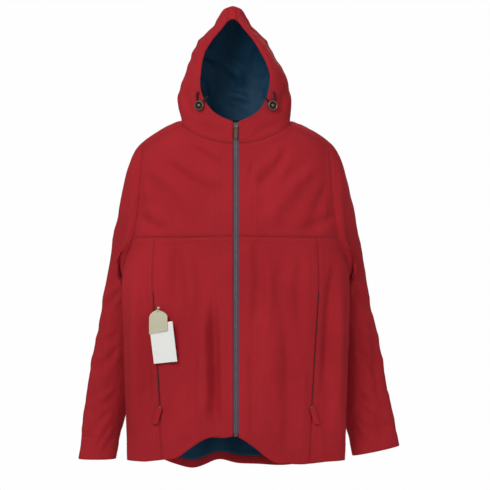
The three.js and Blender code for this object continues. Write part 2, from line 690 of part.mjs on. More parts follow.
const sliderZ = zipTop - 6 - sliderLength / 2;
const zipSlider = new THREE.Group();
zipSlider.position.set(0, tapeY, sliderZ);
jacket.add(zipSlider);
const plateGap = toothDepth / 2 + runGap;
const pinReach = plateGap + sliderPlate + pinStandOff;
const slider = join(
  box(sliderWidth, sliderPlate, sliderLength, 0, -plateGap - sliderPlate / 2, 0),
  box(earWall, earHeight, 4, -earX, -plateGap - sliderPlate - earHeight / 2 + 0.2, 3),
  box(earWall, earHeight, 4, earX, -plateGap - sliderPlate - earHeight / 2 + 0.2, 3),
);
add('zip_slider', slider, bronze, zipSlider);
add('zip_slider_back', box(sliderWidth - 2, sliderPlate, sliderLength - 2, 0, plateGap + sliderPlate / 2, 0),
  bronze, zipSlider);
const pullShape = new THREE.Shape();
pullShape.moveTo(-2, 0);
pullShape.lineTo(-pullWidth / 2, -8);
pullShape.lineTo(-pullWidth / 2, -pullLength + 3);
pullShape.quadraticCurveTo(0, -pullLength - 2, pullWidth / 2, -pullLength + 3);
pullShape.lineTo(pullWidth / 2, -8);
pullShape.lineTo(2, 0);
const pull = join(plate(pullShape, pullWall), rodX(pinRadius, 2 * (earX - 0.6 - runGap), 0, 0, 0));
add('zip_pull', pull, bronze, zipSlider).position.set(0, -pinReach, 3);

// Hand pockets
const seamTop = bodyPoint(turnAt(pocketTop.x, pocketTop.z), pocketTop.z);
const seamEnd = bodyPoint(turnAt(pocketEnd.x, pocketEnd.z), pocketEnd.z);
const seamRun = seamTop.clone().sub(seamEnd);
const pocketLength = seamRun.length();
const seamUp = seamRun.clone().normalize();
const bulge = bodyPoint(turnAt(pocketX((pocketTop.z + pocketEnd.z) / 2) + 4, -512), -512)
  .sub(bodyPoint(turnAt(pocketX(-512) - 4, -512), -512)).normalize();
const seamOut = bulge.clone().cross(seamUp).normalize();
for (const [side, sign] of sides) {
  const flip = (p) => vec(sign * p.x, p.y, p.z);
  const pocket = new THREE.Group();
  const up = flip(seamUp);
  const out = flip(seamOut);
  const across = up.clone().cross(out).normalize();
  pocket.quaternion.setFromRotationMatrix(new THREE.Matrix4().makeBasis(across, out.clone().negate(), up));
  pocket.position.copy(flip(seamEnd));
  jacket.add(pocket);
  const tapeDrop = 1.5;
  add(`pocket_zip_${side}`,
    box(pocketSlot - 2 * seamGap, pocketTape, pocketLength - 16, 0, tapeDrop, pocketLength / 2), black, pocket);
  const sliderBase = tapeDrop - pocketTape / 2 - seamGap - pocketSlider.depth / 2;
  add(`pocket_slider_${side}`,
    box(pocketSlider.width, pocketSlider.depth, pocketSlider.length, 0, sliderBase, 14), bronze, pocket);
  const tab = new THREE.Shape();
  const half = pocketPull.width / 2;
  tab.moveTo(-half, 0);
  tab.lineTo(half, 0);
  tab.lineTo(half + pocketPull.lean * pocketPull.length, -pocketPull.length);
  tab.lineTo(-half + pocketPull.lean * pocketPull.length, -pocketPull.length);
  tab.closePath();
  const tabPlate = plate(tab, pocketPull.wall);
  if (sign < 0) {
    tabPlate.scale(-1, 1, 1);
    flipWinding(tabPlate);
  }
  add(`pocket_pull_${side}`, tabPlate, red, pocket)
    .position.set(0, sliderBase - pocketSlider.depth / 2 - runGap - pocketPull.wall / 2, 16);
  const bag = slice(frontCentre, 2, centreCols, 2, lowRows);
  add(`pocket_bag_${side}`, shell([onSide(bag, sign)], shellWall + layerGap, bagWall, bagMargin), teal);
}
function bagMargin() {
  return 6;
}
function flipWinding(geometry) {
  const p = geometry.attributes.position.array;
  for (let t = 0; t < p.length; t += 9) {
    for (let c = 0; c < 3; c++) [p[t + 3 + c], p[t + 6 + c]] = [p[t + 6 + c], p[t + 3 + c]];
  }
}

// Hood toggles: a two-hole disc on the elastic, which comes out at the face opening and ends above the disc.
// They sit on the hood's side grid, by column back from the face opening and row up from the neck.
function hoodSpot(col, row) {
  const [i, j] = [Math.floor(col), Math.floor(row)];
  const mix = (get) => get(i, j).clone().lerp(get(i + 1, j), col - i)
    .lerp(get(i, j + 1).clone().lerp(get(i + 1, j + 1), col - i), row - j);
  const at = mix((c, r) => hoodSide[c][r]);
  return { at, out: mix((c, r) => normals.get(keyOf(hoodSide[c][r]))).normalize() };
}
const spot = hoodSpot(toggle.col, toggle.row);
for (const [side, sign] of sides) {
  const out = vec(sign * spot.out.x, spot.out.y, spot.out.z);
  const holder = new THREE.Group();
  holder.quaternion.setFromUnitVectors(vec(0, -1, 0), out);
  holder.position.set(sign * spot.at.x, spot.at.y, spot.at.z)
    .addScaledVector(out, toggle.depth / 2 + toggle.seat);
  jacket.add(holder);
  const lean = sign * -0.6;
  const holes = [-1, 1].map((k) => rodY(toggle.hole, toggle.depth * 2,
    k * toggle.pitch / 2 * Math.cos(lean), 0, k * toggle.pitch / 2 * Math.sin(lean), 12));
  add(`toggle_${side}`, cut(rodY(toggle.radius, toggle.depth), ...holes), bronze, holder);
  const inward = -sign;
  const reach = toggle.radius + 0.6;
  add(`elastic_${side}`, tube([
    vec(inward * reach * 0.75, 0, reach * 0.68), vec(inward * (reach + 4), 0, reach + 3),
    vec(inward * (reach + 9), 1, reach + 8)], elastic), black, holder);
  add(`elastic_end_${side}`, tube([
    vec(-inward * reach * 0.35, 0, reach * 0.97), vec(-inward * reach * 0.42, -1, reach + 9),
    vec(-inward * reach * 0.2, -1, reach + 19)], elastic), black, holder);
}

// Hang loop: a band with a gap behind it for the hook, sewn at both ends inside the back neck
const hookGap = box(hangLoop.width - 2 * hangLoop.band, hangLoop.gap * 2, hangLoop.height * 2,
  0, hangLoop.wall - loopDepth / 2 + hangLoop.gap, 0);
add('hang_loop', cut(box(hangLoop.width, loopDepth, hangLoop.height), hookGap), black)
  .position.set(0, loopY, -hangLoop.height / 2);
add('neck_label', box(neckLabel.width, neckLabel.wall, neckLabel.height), cream)
  .position.set(0, backNeckMid.y - shellWall - labelSeat - neckLabel.wall / 2,
    -hangLoop.height - seamGap - neckLabel.height / 2);

// Swing tags on a thread through the top of the wearer's right pocket
const tagZ = pocketTop.z - tagThread.drop;
const tagTop = bodyPoint(turnAt(pocketTop.x - tagThread.inward, tagZ), tagZ);
const tags = new THREE.Group();
tags.position.set(-tagTop.x, tagTop.y - 2.2, tagTop.z);
tags.rotation.z = -0.33;
jacket.add(tags);
const tagReach = tagThread.depth - 1.5;     // the tags hang this far out, in front of the pocket pull's path
add('tag_thread', box(tagThread.width, tagThread.depth, tagThread.height,
  0, 1.5 - tagThread.depth / 2, -tagThread.height / 2), cream, tags);
const clothShape = new THREE.Shape();
const clothHalf = clothTag.width / 2;
clothShape.moveTo(-clothHalf, -clothTag.height);
clothShape.lineTo(clothHalf, -clothTag.height);
clothShape.lineTo(clothHalf, -clothHalf);
clothShape.absarc(0, -clothHalf, clothHalf, 0, Math.PI, false);
clothShape.closePath();
add('tag_cloth', plate(clothShape, clothTag.wall), cream, tags)
  .position.set(-6, -tagReach + 0.6, -tagThread.height - 0.3);
add('tag_card', box(cardTag.width, cardTag.wall, cardTag.height), card, tags)
  .position.set(2, -tagReach - 1.2, -46 - cardTag.height / 2);

export default jacket;
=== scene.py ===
import math
import bpy
import bmesh
import numpy as np
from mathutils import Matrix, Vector, noise
from mathutils.kdtree import KDTree


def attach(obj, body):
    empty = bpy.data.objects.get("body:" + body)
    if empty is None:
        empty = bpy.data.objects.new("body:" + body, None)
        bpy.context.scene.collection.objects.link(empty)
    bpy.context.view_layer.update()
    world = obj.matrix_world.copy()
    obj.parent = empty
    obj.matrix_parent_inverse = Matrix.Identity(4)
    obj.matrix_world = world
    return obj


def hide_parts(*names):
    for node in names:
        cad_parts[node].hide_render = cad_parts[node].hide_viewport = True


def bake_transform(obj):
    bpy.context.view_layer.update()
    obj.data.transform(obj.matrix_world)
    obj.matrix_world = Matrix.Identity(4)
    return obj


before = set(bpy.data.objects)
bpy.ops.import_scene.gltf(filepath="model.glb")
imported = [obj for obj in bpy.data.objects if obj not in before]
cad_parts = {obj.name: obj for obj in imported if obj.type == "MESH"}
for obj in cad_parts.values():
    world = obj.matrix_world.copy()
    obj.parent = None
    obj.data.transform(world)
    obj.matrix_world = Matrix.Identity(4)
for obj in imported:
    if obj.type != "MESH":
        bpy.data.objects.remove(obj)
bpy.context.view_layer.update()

print("frame loaded:", len(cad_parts), "nodes")


def newObject(name, data):
    obj = bpy.data.objects.new(name, data)
    bpy.context.scene.collection.objects.link(obj)
    return obj


# Camera, lights, floor

shot = {"seenWidth": 1.078, "distance": 4.2, "aimX": 0.020, "aimY": -0.07, "aimZ": -0.279, "sensor": 36.0}
camData = bpy.data.cameras.new("camera")
camData.sensor_width = shot["sensor"]
camData.lens = shot["sensor"] * shot["distance"] / shot["seenWidth"]
camera = bpy.data.objects.new("camera", camData)
camera.location = (shot["aimX"], shot["aimY"] - shot["distance"], shot["aimZ"])
camera.rotation_euler = (math.pi / 2, 0, 0)
camData.clip_end = 60
bpy.context.scene.collection.objects.link(camera)
bpy.context.scene.camera = camera
bpy.context.scene.view_settings.view_transform = "Standard"


def addNode(tree, kind, settings=None, inputs=None):
    # one node with its settings and its links or values
    node = tree.nodes.new(kind)
    for key, value in (settings or {}).items():
        setattr(node, key, value)
    for key, value in (inputs or {}).items():
        if isinstance(value, bpy.types.NodeSocket):
            tree.links.new(value, node.inputs[key])
        else:
            node.inputs[key].default_value = value
    return node


def toLinear(hexColour):
    parts = [int(hexColour[k:k + 2], 16) / 255 for k in (0, 2, 4)]
    return tuple(c / 12.92 if c <= 0.04045 else ((c + 0.055) / 1.055) ** 2.4 for c in parts) + (1.0,)


studio = {"ambient": 0.4, "backdrop": "fefefe", "floor": "f6f6f4", "floorZ": -2.6, "floorHalf": 9.0,
          "skyTint": "f4f6fa", "floorGlow": 0.9, "floorPaleness": 0.88}
world = bpy.data.worlds.new("studio")
bpy.context.scene.world = world
world.use_nodes = True
sky = world.node_tree
sky.nodes.clear()
ambient = addNode(sky, "ShaderNodeBackground", None,
                  {"Color": toLinear(studio["skyTint"]), "Strength": studio["ambient"]})
backdrop = addNode(sky, "ShaderNodeBackground", None,
                   {"Color": toLinear(studio["backdrop"]), "Strength": 1.0})
seen = addNode(sky, "ShaderNodeLightPath")
skyMix = addNode(sky, "ShaderNodeMixShader", None,
                 {0: seen.outputs["Is Camera Ray"], 1: ambient.outputs[0], 2: backdrop.outputs[0]})
addNode(sky, "ShaderNodeOutputWorld", None, {"Surface": skyMix.outputs[0]})

lamps = {
    "key": {"at": (-1.5, -2.6, 1.5), "size": 1.6, "watts": 70},
    "fill": {"at": (2.0, -2.4, 0.2), "size": 2.2, "watts": 16},
    "rear": {"at": (0.6, 2.6, 1.6), "size": 2.0, "watts": 46},
}
lampAim = Vector((0, 0, -0.3))
for name, lamp in lamps.items():
    data = bpy.data.lights.new(name, "AREA")
    data.size = lamp["size"]
    data.energy = lamp["watts"]
    obj = newObject(name, data)
    obj.location = lamp["at"]
    obj.rotation_euler = (lampAim - obj.location).to_track_quat("-Z", "Y").to_euler()

half = studio["floorHalf"]
floorMesh = bpy.data.meshes.new("floor")
floorMesh.from_pydata([(-half, -half, studio["floorZ"]), (half, -half, studio["floorZ"]),
                       (half, half, studio["floorZ"]), (-half, half, studio["floorZ"])], [], [(0, 1, 2, 3)])
floor = newObject("floor", floorMesh)

# Materials

def newMaterial(name):
    mat = bpy.data.materials.new(name)
    mat.use_nodes = True
    mat.node_tree.nodes.clear()
    return mat, mat.node_tree


def finishMaterial(tree, shader):
    addNode(tree, "ShaderNodeOutputMaterial", None, {"Surface": shader.outputs[0]})


def noiseNode(tree, spot, scale, detail, roughness=0.5, distortion=0.0):
    return addNode(tree, "ShaderNodeTexNoise", None, {
        "Vector": spot.outputs["Object"], "Scale": scale, "Detail": detail, "Roughness": roughness,
        "Distortion": distortion})


def bumpNode(tree, strength, distance, height, under=None):
    inputs = {"Strength": strength, "Distance": distance, "Height": height}
    if under:
        inputs["Normal"] = under.outputs[0]
    return addNode(tree, "ShaderNodeBump", None, inputs)


def colourMix(tree, share, first, second, mode="MIX"):
    # sockets 0, 6 and 7 are the share and the two colours
    settings = {"data_type": "RGBA", "blend_type": mode}
    return addNode(tree, "ShaderNodeMix", settings, {0: share, 6: first, 7: second})


def rangeNode(tree, value, fromMin, fromMax, toMin, toMax):
    return addNode(tree, "ShaderNodeMapRange", None, {
        "Value": value, "From Min": fromMin, "From Max": fromMax, "To Min": toMin, "To Max": toMax})


def mathNode(tree, operation, first, second):
    return addNode(tree, "ShaderNodeMath", {"operation": operation}, {0: first, 1: second})


# Matt emulsion paint on a flat floor
paintMat, paint = newMaterial("mattPaint")
matt = addNode(paint, "ShaderNodeBsdfPrincipled", None,
               {"Base Color": toLinear(studio["floor"]), "Roughness": 0.8})
pale = addNode(paint, "ShaderNodeEmission", None,
               {"Color": toLinear(studio["floor"]), "Strength": studio["floorGlow"]})
looking = addNode(paint, "ShaderNodeLightPath")
paleShare = mathNode(paint, "MULTIPLY", looking.outputs["Is Camera Ray"], studio["floorPaleness"])
finishMaterial(paint, addNode(paint, "ShaderNodeMixShader", None,
                              {0: paleShare.outputs[0], 1: matt.outputs[0], 2: pale.outputs[0]}))
floorMesh.materials.append(paintMat)


def wovenCloth(name, look):
    # plain weave: warp and weft threads cross on the piece's own cloth map, whose unit is a metre
    mat, t = newMaterial(name)
    uv = addNode(t, "ShaderNodeUVMap", {"uv_map": "cloth"})
    obj = addNode(t, "ShaderNodeTexCoord")
    turns = 1000 / look["threadMm"] / 20      # the wave texture's own scale gives 20 bands a unit over 2 pi
    warp, weft = (addNode(t, "ShaderNodeTexWave", {"bands_direction": way}, {
        "Vector": uv.outputs[0], "Scale": turns * 2 * math.pi, "Distortion": 0.5, "Detail": 1.0,
        "Detail Scale": 2.0}) for way in ("X", "Y"))
    weave = mathNode(t, "MULTIPLY", warp.outputs["Fac"], weft.outputs["Fac"])
    slub = noiseNode(t, obj, look["slubScale"], 3.0, 0.6)
    cloudy = noiseNode(t, obj, 6.0, 3.0, 0.55)
    crumple = noiseNode(t, obj, look["crumpleScale"], 4.0, 0.58, 0.6)
    yarn = colourMix(t, slub.outputs["Fac"], toLinear(look["deep"]), toLinear(look["light"]))
    tone = rangeNode(t, cloudy.outputs["Fac"], 0.3, 0.7, 0.0, look["cloud"])
    cloth = colourMix(t, tone.outputs[0], yarn.outputs[2], toLinear(look["shade"]), "MULTIPLY")
    last = bumpNode(t, look["crumple"], 0.004, crumple.outputs["Fac"])
    if look.get("seam"):
        # the sewn edge: a groove at the seam, then a raised allowance, pulled down at both rows of stitches
        run = addNode(t, "ShaderNodeAttribute", {"attribute_name": "seamRun"})
        curve = addNode(t, "ShaderNodeFloatCurve", None, {"Value": run.outputs["Fac"]})
        points = curve.mapping.curves[0].points
        points[0].location = (0.0, 0.0)
        points[1].location = (1.0, 0.42)
        for x, y in look["seam"]:
            points.new(x, y)
        curve.mapping.update()
        pucker = noiseNode(t, obj, 120.0, 2.0)
        near = rangeNode(t, run.outputs["Fac"], 0.55, 0.8, 0.45, 0.0)
        puckered = mathNode(t, "MULTIPLY", pucker.outputs["Fac"], near.outputs[0])
        height = mathNode(t, "ADD", curve.outputs[0], puckered.outputs[0])
        last = bumpNode(t, 0.8, 0.0016, height.outputs[0], last)
    fine = bumpNode(t, look["weave"], 0.0006, weave.outputs[0], last)
    finishMaterial(t, addNode(t, "ShaderNodeBsdfPrincipled", None, {
        "Base Color": cloth.outputs[2], "Roughness": look["roughness"], "Normal": fine.outputs[0],
        "Sheen Weight": look["sheen"], "Sheen Roughness": 0.5, "Sheen Tint": toLinear(look["light"]),
        "Specular IOR Level": look["specular"]}))
    return mat


# 1.3 mm threads: the real 0.4 mm ones would not show, so they are drawn three times as coarse
shellLook = {"threadMm": 1.3, "slubScale": 900.0, "crumpleScale": 34.0, "deep": "a01b24", "light": "b3262f",
             "shade": "c4a8a6", "cloud": 0.4,
             "crumple": 0.35, "weave": 0.35, "roughness": 0.88, "sheen": 0.1, "specular": 0.2,
             "seam": [(0.06, 0.15), (0.14, 0.75), (0.2, 0.55), (0.28, 0.85), (0.46, 0.85), (0.52, 0.5),
                      (0.6, 0.62), (0.75, 0.45)]}
shellCloth = wovenCloth("washedCottonNylonShell", shellLook)      # matt, slightly mottled from washing
liningLook = {"threadMm": 0.9, "slubScale": 500.0, "crumpleScale": 26.0, "deep": "042b42",
              "light": "094563", "shade": "a8b4bc", "cloud": 0.3,
              "crumple": 0.6, "weave": 0.12, "roughness": 0.6, "sheen": 0.04, "specular": 0.2}
liningCloth = wovenCloth("tealTaffetaLining", liningLook)         # smooth, a soft shine on its creases
tapeLook = {"threadMm": 1.1, "slubScale": 900.0, "crumpleScale": 60.0, "deep": "2a5272", "light": "3f6f92",
            "shade": "c0c8cc", "cloud": 0.3,
            "crumple": 0.1, "weave": 0.6, "roughness": 0.75, "sheen": 0.1, "specular": 0.3}
tapeCloth = wovenCloth("polyesterZipTape", tapeLook)
blackLook = {"threadMm": 1.2, "slubScale": 900.0, "crumpleScale": 60.0, "deep": "131316", "light": "26262a",
             "shade": "c0c0c4", "cloud": 0.3,
             "crumple": 0.1, "weave": 0.7, "roughness": 0.8, "sheen": 0.15, "specular": 0.3}
blackTape = wovenCloth("blackPolyesterTape", blackLook)
tagLook = {"threadMm": 1.0, "slubScale": 700.0, "crumpleScale": 40.0, "deep": "cfcbb0", "light": "e2dfc8",
           "shade": "cfc9b0", "cloud": 0.4,
           "crumple": 0.25, "weave": 0.6, "roughness": 0.9, "sheen": 0.1, "specular": 0.2}
tagCloth = wovenCloth("unbleachedCottonTag", tagLook)


def grainMaterial(name, look):
    # plated metal, moulded plastic or card: a fine grain, duller where it stands high
    mat, t = newMaterial(name)
    obj = addNode(t, "ShaderNodeTexCoord")
    grain = noiseNode(t, obj, look["grainScale"], 4.0, 0.6)
    cloudy = noiseNode(t, obj, look["grainScale"] / 8, 2.0)
    colour = colourMix(t, cloudy.outputs["Fac"], toLinear(look["deep"]), toLinear(look["light"]))
    rough = rangeNode(t, grain.outputs["Fac"], 0.3, 0.7, look["roughness"] - 0.08, look["roughness"] + 0.1)
    bump = bumpNode(t, look["bump"], 0.0004, grain.outputs["Fac"])
    finishMaterial(t, addNode(t, "ShaderNodeBsdfPrincipled", None, {
        "Base Color": colour.outputs[2], "Metallic": look["metallic"],
        "Roughness": rough.outputs[0], "Normal": bump.outputs[0]}))
    return mat


bronzeMetal = grainMaterial("antiqueBronzePlating",
                            {"grainScale": 500.0, "deep": "5c4a3a", "light": "8d7a66", "roughness": 0.42,
                             "bump": 0.2, "metallic": 0.85})
toothMetal = grainMaterial("mouldedBronzeTeeth",
                           {"grainScale": 700.0, "deep": "5f5750", "light": "837a70", "roughness": 0.45,
                            "bump": 0.15, "metallic": 0.3})
cardStock = grainMaterial("coatedCard", {"grainScale": 300.0, "deep": "e6e5e0", "light": "efeeea",
                                         "roughness": 0.5, "bump": 0.08, "metallic": 0.0})
redThread = grainMaterial("redSewingThread",
                          {"grainScale": 900.0, "deep": "8d1c23", "light": "b02a31", "roughness": 0.6,
                           "bump": 0.4, "metallic": 0.0})
print("materials made")

# The garment's form, in millimetres, as a coarse net of quads

body = {"chestHalf": 256, "yokeHalf": 229, "shoulderHalf": 213, "hemHalf": 246, "frontDepth": 70,
        "backDepth": 52, "length": 698,
        "backDrop": 70, "armpit": 350, "yoke": 258, "yokeSide": 10, "backYoke": 236, "round": 70,
        "slope": 0.53, "seamRoll": 0.72,
        "sideTurn": 1.15, "zipEdge": 6.8, "facing": 34}
neck = {"half": 120, "front": 60, "back": 12, "zipTop": 10}
hoodForm = {"height": 251, "half": 126, "openingHalf": 77, "openingHeight": 218, "back": 76, "strip": 15}
arm = {"end": 757, "cuffX": 303, "cuffY": 50, "cuffHalf": 54, "cuffDepth": 26, "bicepHalf": 54,
       "bicepDepth": 44, "hem": 60,
       "clear": 16, "tilt": (0.16, -0.08), "fan": 1.9}
pocket = {"top": (182, -374), "end": (165, -650)}
shiftY = -41.8          # from the form's own middle plane to the frame
quarter = math.pi / 2


def mixed(a, b, t):
    return a + (b - a) * t


def eased(x, a, b):
    t = min(1, max(0, (x - a) / (b - a)))
    return t * t * (3 - 2 * t)


def bodyHalf(z):
    if z > -body["yoke"]:
        return mixed(body["shoulderHalf"], body["yokeHalf"], min(1, -z / body["yoke"]))
    if z > -body["armpit"]:
        return mixed(body["yokeHalf"], body["chestHalf"], eased(-z, body["yoke"], body["armpit"]))
    return mixed(body["chestHalf"], body["hemHalf"],
                 (-z - body["armpit"]) / (body["length"] - body["armpit"]))


def bodyPoint(turn, z):
    # turn: 0 centre front, 1 side edge, 2 centre back
    angle = turn * quarter
    depth = body["frontDepth"] if math.cos(angle) > 0 else body["backDepth"]
    return np.array((bodyHalf(z) * math.sin(angle), -depth * math.cos(angle), z))


def turnAt(x, z):
    return math.asin(min(1, x / bodyHalf(z))) / quarter


def shoulderLine(x):
    return (neck["half"] - x) * body["slope"]


def shoulderPoint(x, roll):
    bend = abs(roll)
    fall = 1 - math.cos(bend) if bend < quarter else 1 + bend - quarter
    z = shoulderLine(x) - body["round"] * fall
    full = math.sin(bend) if bend < quarter else 1
    across = math.sqrt(max(0, 1 - (x / bodyHalf(z)) ** 2))
    return np.array((x, (-body["frontDepth"] if roll > 0 else body["backDepth"]) * full * across, z))


def rollAt(x, z, side):
    fall = (shoulderLine(x) - z) / body["round"]
    return side * (math.acos(1 - max(0, fall)) if fall < 1 else quarter + fall - 1)


def yokeZ(x):
    return -body["yoke"] - body["yokeSide"] * x / body["yokeHalf"]


def backYokeZ(x):
    return -body["backYoke"] - body["yokeSide"] * x / body["yokeHalf"]


def hemZ(x):
    return -body["length"] - (body["backDrop"] - 14) * eased(x, 16, 118)


def backHemZ(x):
    return -body["length"] - body["backDrop"] + 14 * eased(x, 110, body["hemHalf"])


def coons(cols, rows, point, low, high, left, right):
    # low and high run along the columns, left and right along the rows
    low, high, left, right = (np.array(edge, float) for edge in (low, high, left, right))
    grid = []
    for i in range(cols + 1):
        s = i / cols
        column = []
        for j in range(rows + 1):
            t = j / rows
            mix = (mixed(left[j], right[j], s) + mixed(low[i], high[i], t)
                   - mixed(mixed(left[0], right[0], s), mixed(left[rows], right[rows], s), t))
            column.append(point(float(mix[0]), float(mix[1])))
        grid.append(column)
    return grid


def steps(n, f):
    return [f(k / n, k) for k in range(n + 1)]


centreCols, sideCols, panelRows, armRows, yokeRows, backYokeRows, backNeckCols = 5, 4, 9, 3, 5, 7, 5
lowRows = panelRows - armRows
frontCols = centreCols + sideCols
backCols = sideCols + backNeckCols


def pocketX(z):
    return mixed(pocket["end"][0], pocket["top"][0],
                 (z - pocket["end"][1]) / (pocket["top"][1] - pocket["end"][1]))


def pocketSeamZ(j):
    hem = hemZ(pocketX(-body["length"]))
    if j < 2:
        return hem + j * body["facing"]
    if j <= lowRows:
        return mixed(pocket["end"][1], pocket["top"][1], (j - 2) / (lowRows - 2))
    return mixed(pocket["top"][1], yokeZ(pocket["top"][0]), (j - lowRows) / armRows)


def sideSeamZ(j):
    hem = hemZ(body["hemHalf"])
    return hem + j * body["facing"] if j < 2 else mixed(pocket["end"][1], -body["armpit"],
                                                        (j - 2) / (lowRows - 2))


def zipSideZ(j):
    if j < 2:
        return -body["length"] + j * body["facing"] * 0.7
    return mixed(pocket["end"][1] + 20, -body["yoke"], (j - 2) / (panelRows - 2))


zipColumn = steps(panelRows, lambda t, j: [turnAt(body["zipEdge"], zipSideZ(j)), zipSideZ(j)])
pocketColumn = steps(panelRows, lambda t,
                     j: [turnAt(pocketX(min(pocketSeamZ(j), pocket["top"][1])), pocketSeamZ(j)),
                         pocketSeamZ(j)])


def armColumn(topTurn, topZ):
    column = []
    for j in range(panelRows + 1):
        if j <= lowRows:
            column.append([body["sideTurn"], sideSeamZ(j)])
        else:
            k = (j - lowRows) / armRows
            column.append([mixed(body["sideTurn"], topTurn, k), mixed(-body["armpit"], topZ, k ** 0.8)])
    return column


frontArm = armColumn(0.86, yokeZ(bodyHalf(-body["yoke"]) * 0.97))
backArm = armColumn(1.30, backYokeZ(bodyHalf(-body["backYoke"]) * 0.9))


def hemRow(cols, start, end, drop):
    return steps(cols, lambda s, i: [mixed(start, end, s),
                                     drop(body["hemHalf"] * math.sin(mixed(start, end, s) * quarter))])


def seamRow(cols, start, end):
    return steps(cols, lambda s, i: [mixed(start[0], end[0], s), mixed(start[1], end[1], s)])


centreTop = seamRow(centreCols, zipColumn[panelRows], pocketColumn[panelRows])
sideTop = seamRow(sideCols, pocketColumn[panelRows], frontArm[panelRows])
net = {}
net["frontCentre"] = coons(centreCols, panelRows, bodyPoint,
                           hemRow(centreCols, zipColumn[0][0], pocketColumn[0][0], hemZ),
                           centreTop, zipColumn, pocketColumn)
net["frontSide"] = coons(sideCols, panelRows, bodyPoint,
                         hemRow(sideCols, pocketColumn[0][0], body["sideTurn"], hemZ),
                         sideTop, pocketColumn, frontArm)
neckCornerX = neck["half"] - 3
shoulderTipX = body["shoulderHalf"] - 7


def toRoll(pair, side=1):
    p = bodyPoint(*pair)
    return [0 if abs(p[0]) < 1e-9 else p[0], rollAt(p[0], p[2], side)]


def frontNeckPoint(s, i):
    x = mixed(body["zipEdge"], neckCornerX, math.sin(s * quarter) * 0.4 + s * 0.6)
    corner = shoulderLine(neckCornerX) - body["round"] * (1 - math.cos(body["seamRoll"]))
    return [x, body["seamRoll"]] if i == centreCols else [x,
                                                          rollAt(x,
                                                                  mixed(-neck["front"], corner,
                                                                          (x / neckCornerX) ** 2), 1)]


frontNeck = steps(centreCols, frontNeckPoint)
shoulderSeam = steps(sideCols, lambda s, i: [mixed(neckCornerX, shoulderTipX, s), body["seamRoll"]])
yokeLow = [toRoll(p) for p in centreTop + sideTop[1:]]
yokeHigh = frontNeck + shoulderSeam[1:]
yokeLeft = steps(yokeRows, lambda t, j: [body["zipEdge"], mixed(yokeLow[0][1], yokeHigh[0][1], t)])
yokeRight = steps(yokeRows, lambda t, j: [mixed(yokeLow[-1][0], yokeHigh[-1][0],
                                                t) - 9 * math.sin(math.pi * t) * (1 - t),
                                          mixed(yokeLow[-1][1], yokeHigh[-1][1], t ** 0.9)])
net["frontYoke"] = coons(frontCols, yokeRows, shoulderPoint, yokeLow, yokeHigh, yokeLeft, yokeRight)
halfBackTop = seamRow(backCols, backArm[panelRows], [2, -body["backYoke"]])
centreBack = steps(panelRows, lambda t, j: [2, backHemZ(0) + j * body["facing"] if j < 2 else
                                            mixed(pocket["end"][1], -body["backYoke"],
                                                  (j - 2) / (panelRows - 2))])
backHemRow = hemRow(backCols, body["sideTurn"], 2, backHemZ)
backHemRow[0] = frontArm[0]
net["backPanel"] = coons(backCols, panelRows, bodyPoint, backHemRow, halfBackTop, backArm, centreBack)


def backNeckPoint(k):
    x = neckCornerX if k == 0 else neck["half"] * math.cos((k - 1) * quarter / (backNeckCols - 1))
    if k < 2:
        return [x, body["seamRoll"] if k == 0 else 0]
    return [x, rollAt(x, -neck["back"] * (1 - (x / neck["half"]) ** 2), -1)]


backNeck = [backNeckPoint(k) for k in range(backNeckCols + 1)]
backYokeLow = [toRoll(p, -1) for p in halfBackTop]
backYokeHigh = shoulderSeam[::-1] + backNeck[1:]
backYokeArm = steps(backYokeRows, lambda t,
                    j: [mixed(backYokeLow[0][0], backYokeHigh[0][0],
                              t) - 7 * math.sin(math.pi * t) * (1 - t),
                                                mixed(backYokeLow[0][1], backYokeHigh[0][1], t)])
backYokeMid = steps(backYokeRows, lambda t,
                    j: [0, mixed(backYokeLow[backCols][1], backYokeHigh[backCols][1], t)])
net["backYoke"] = coons(backCols, backYokeRows, shoulderPoint, backYokeLow, backYokeHigh, backYokeArm,
                        backYokeMid)


def catmullRom(points):
    # centripetal curve through the points, open ended; the share runs evenly over the spans
    p = [np.array(q, float) for q in points]

    def at(share):
        span = min(len(p) - 2, int(share * (len(p) - 1)))
        u = share * (len(p) - 1) - span
        p1, p2 = p[span], p[span + 1]
        p0 = p[span - 1] if span > 0 else 2 * p1 - p2
        p3 = p[span + 2] if span + 2 < len(p) else 2 * p2 - p1
        d0, d1, d2 = (max(1e-6, np.linalg.norm(b - a)) ** 0.5 for a, b in ((p0, p1), (p1, p2), (p2, p3)))
        m1 = ((p1 - p0) / d0 - (p2 - p0) / (d0 + d1) + (p2 - p1) / d1) * d1
        m2 = ((p2 - p1) / d1 - (p3 - p1) / (d1 + d2) + (p3 - p2) / d2) * d1
        return p1 + m1 * u + (3 * (p2 - p1) - 2 * m1 - m2) * u ** 2 + (2 * (p1 - p2) + m1 + m2) * u ** 3
    return at


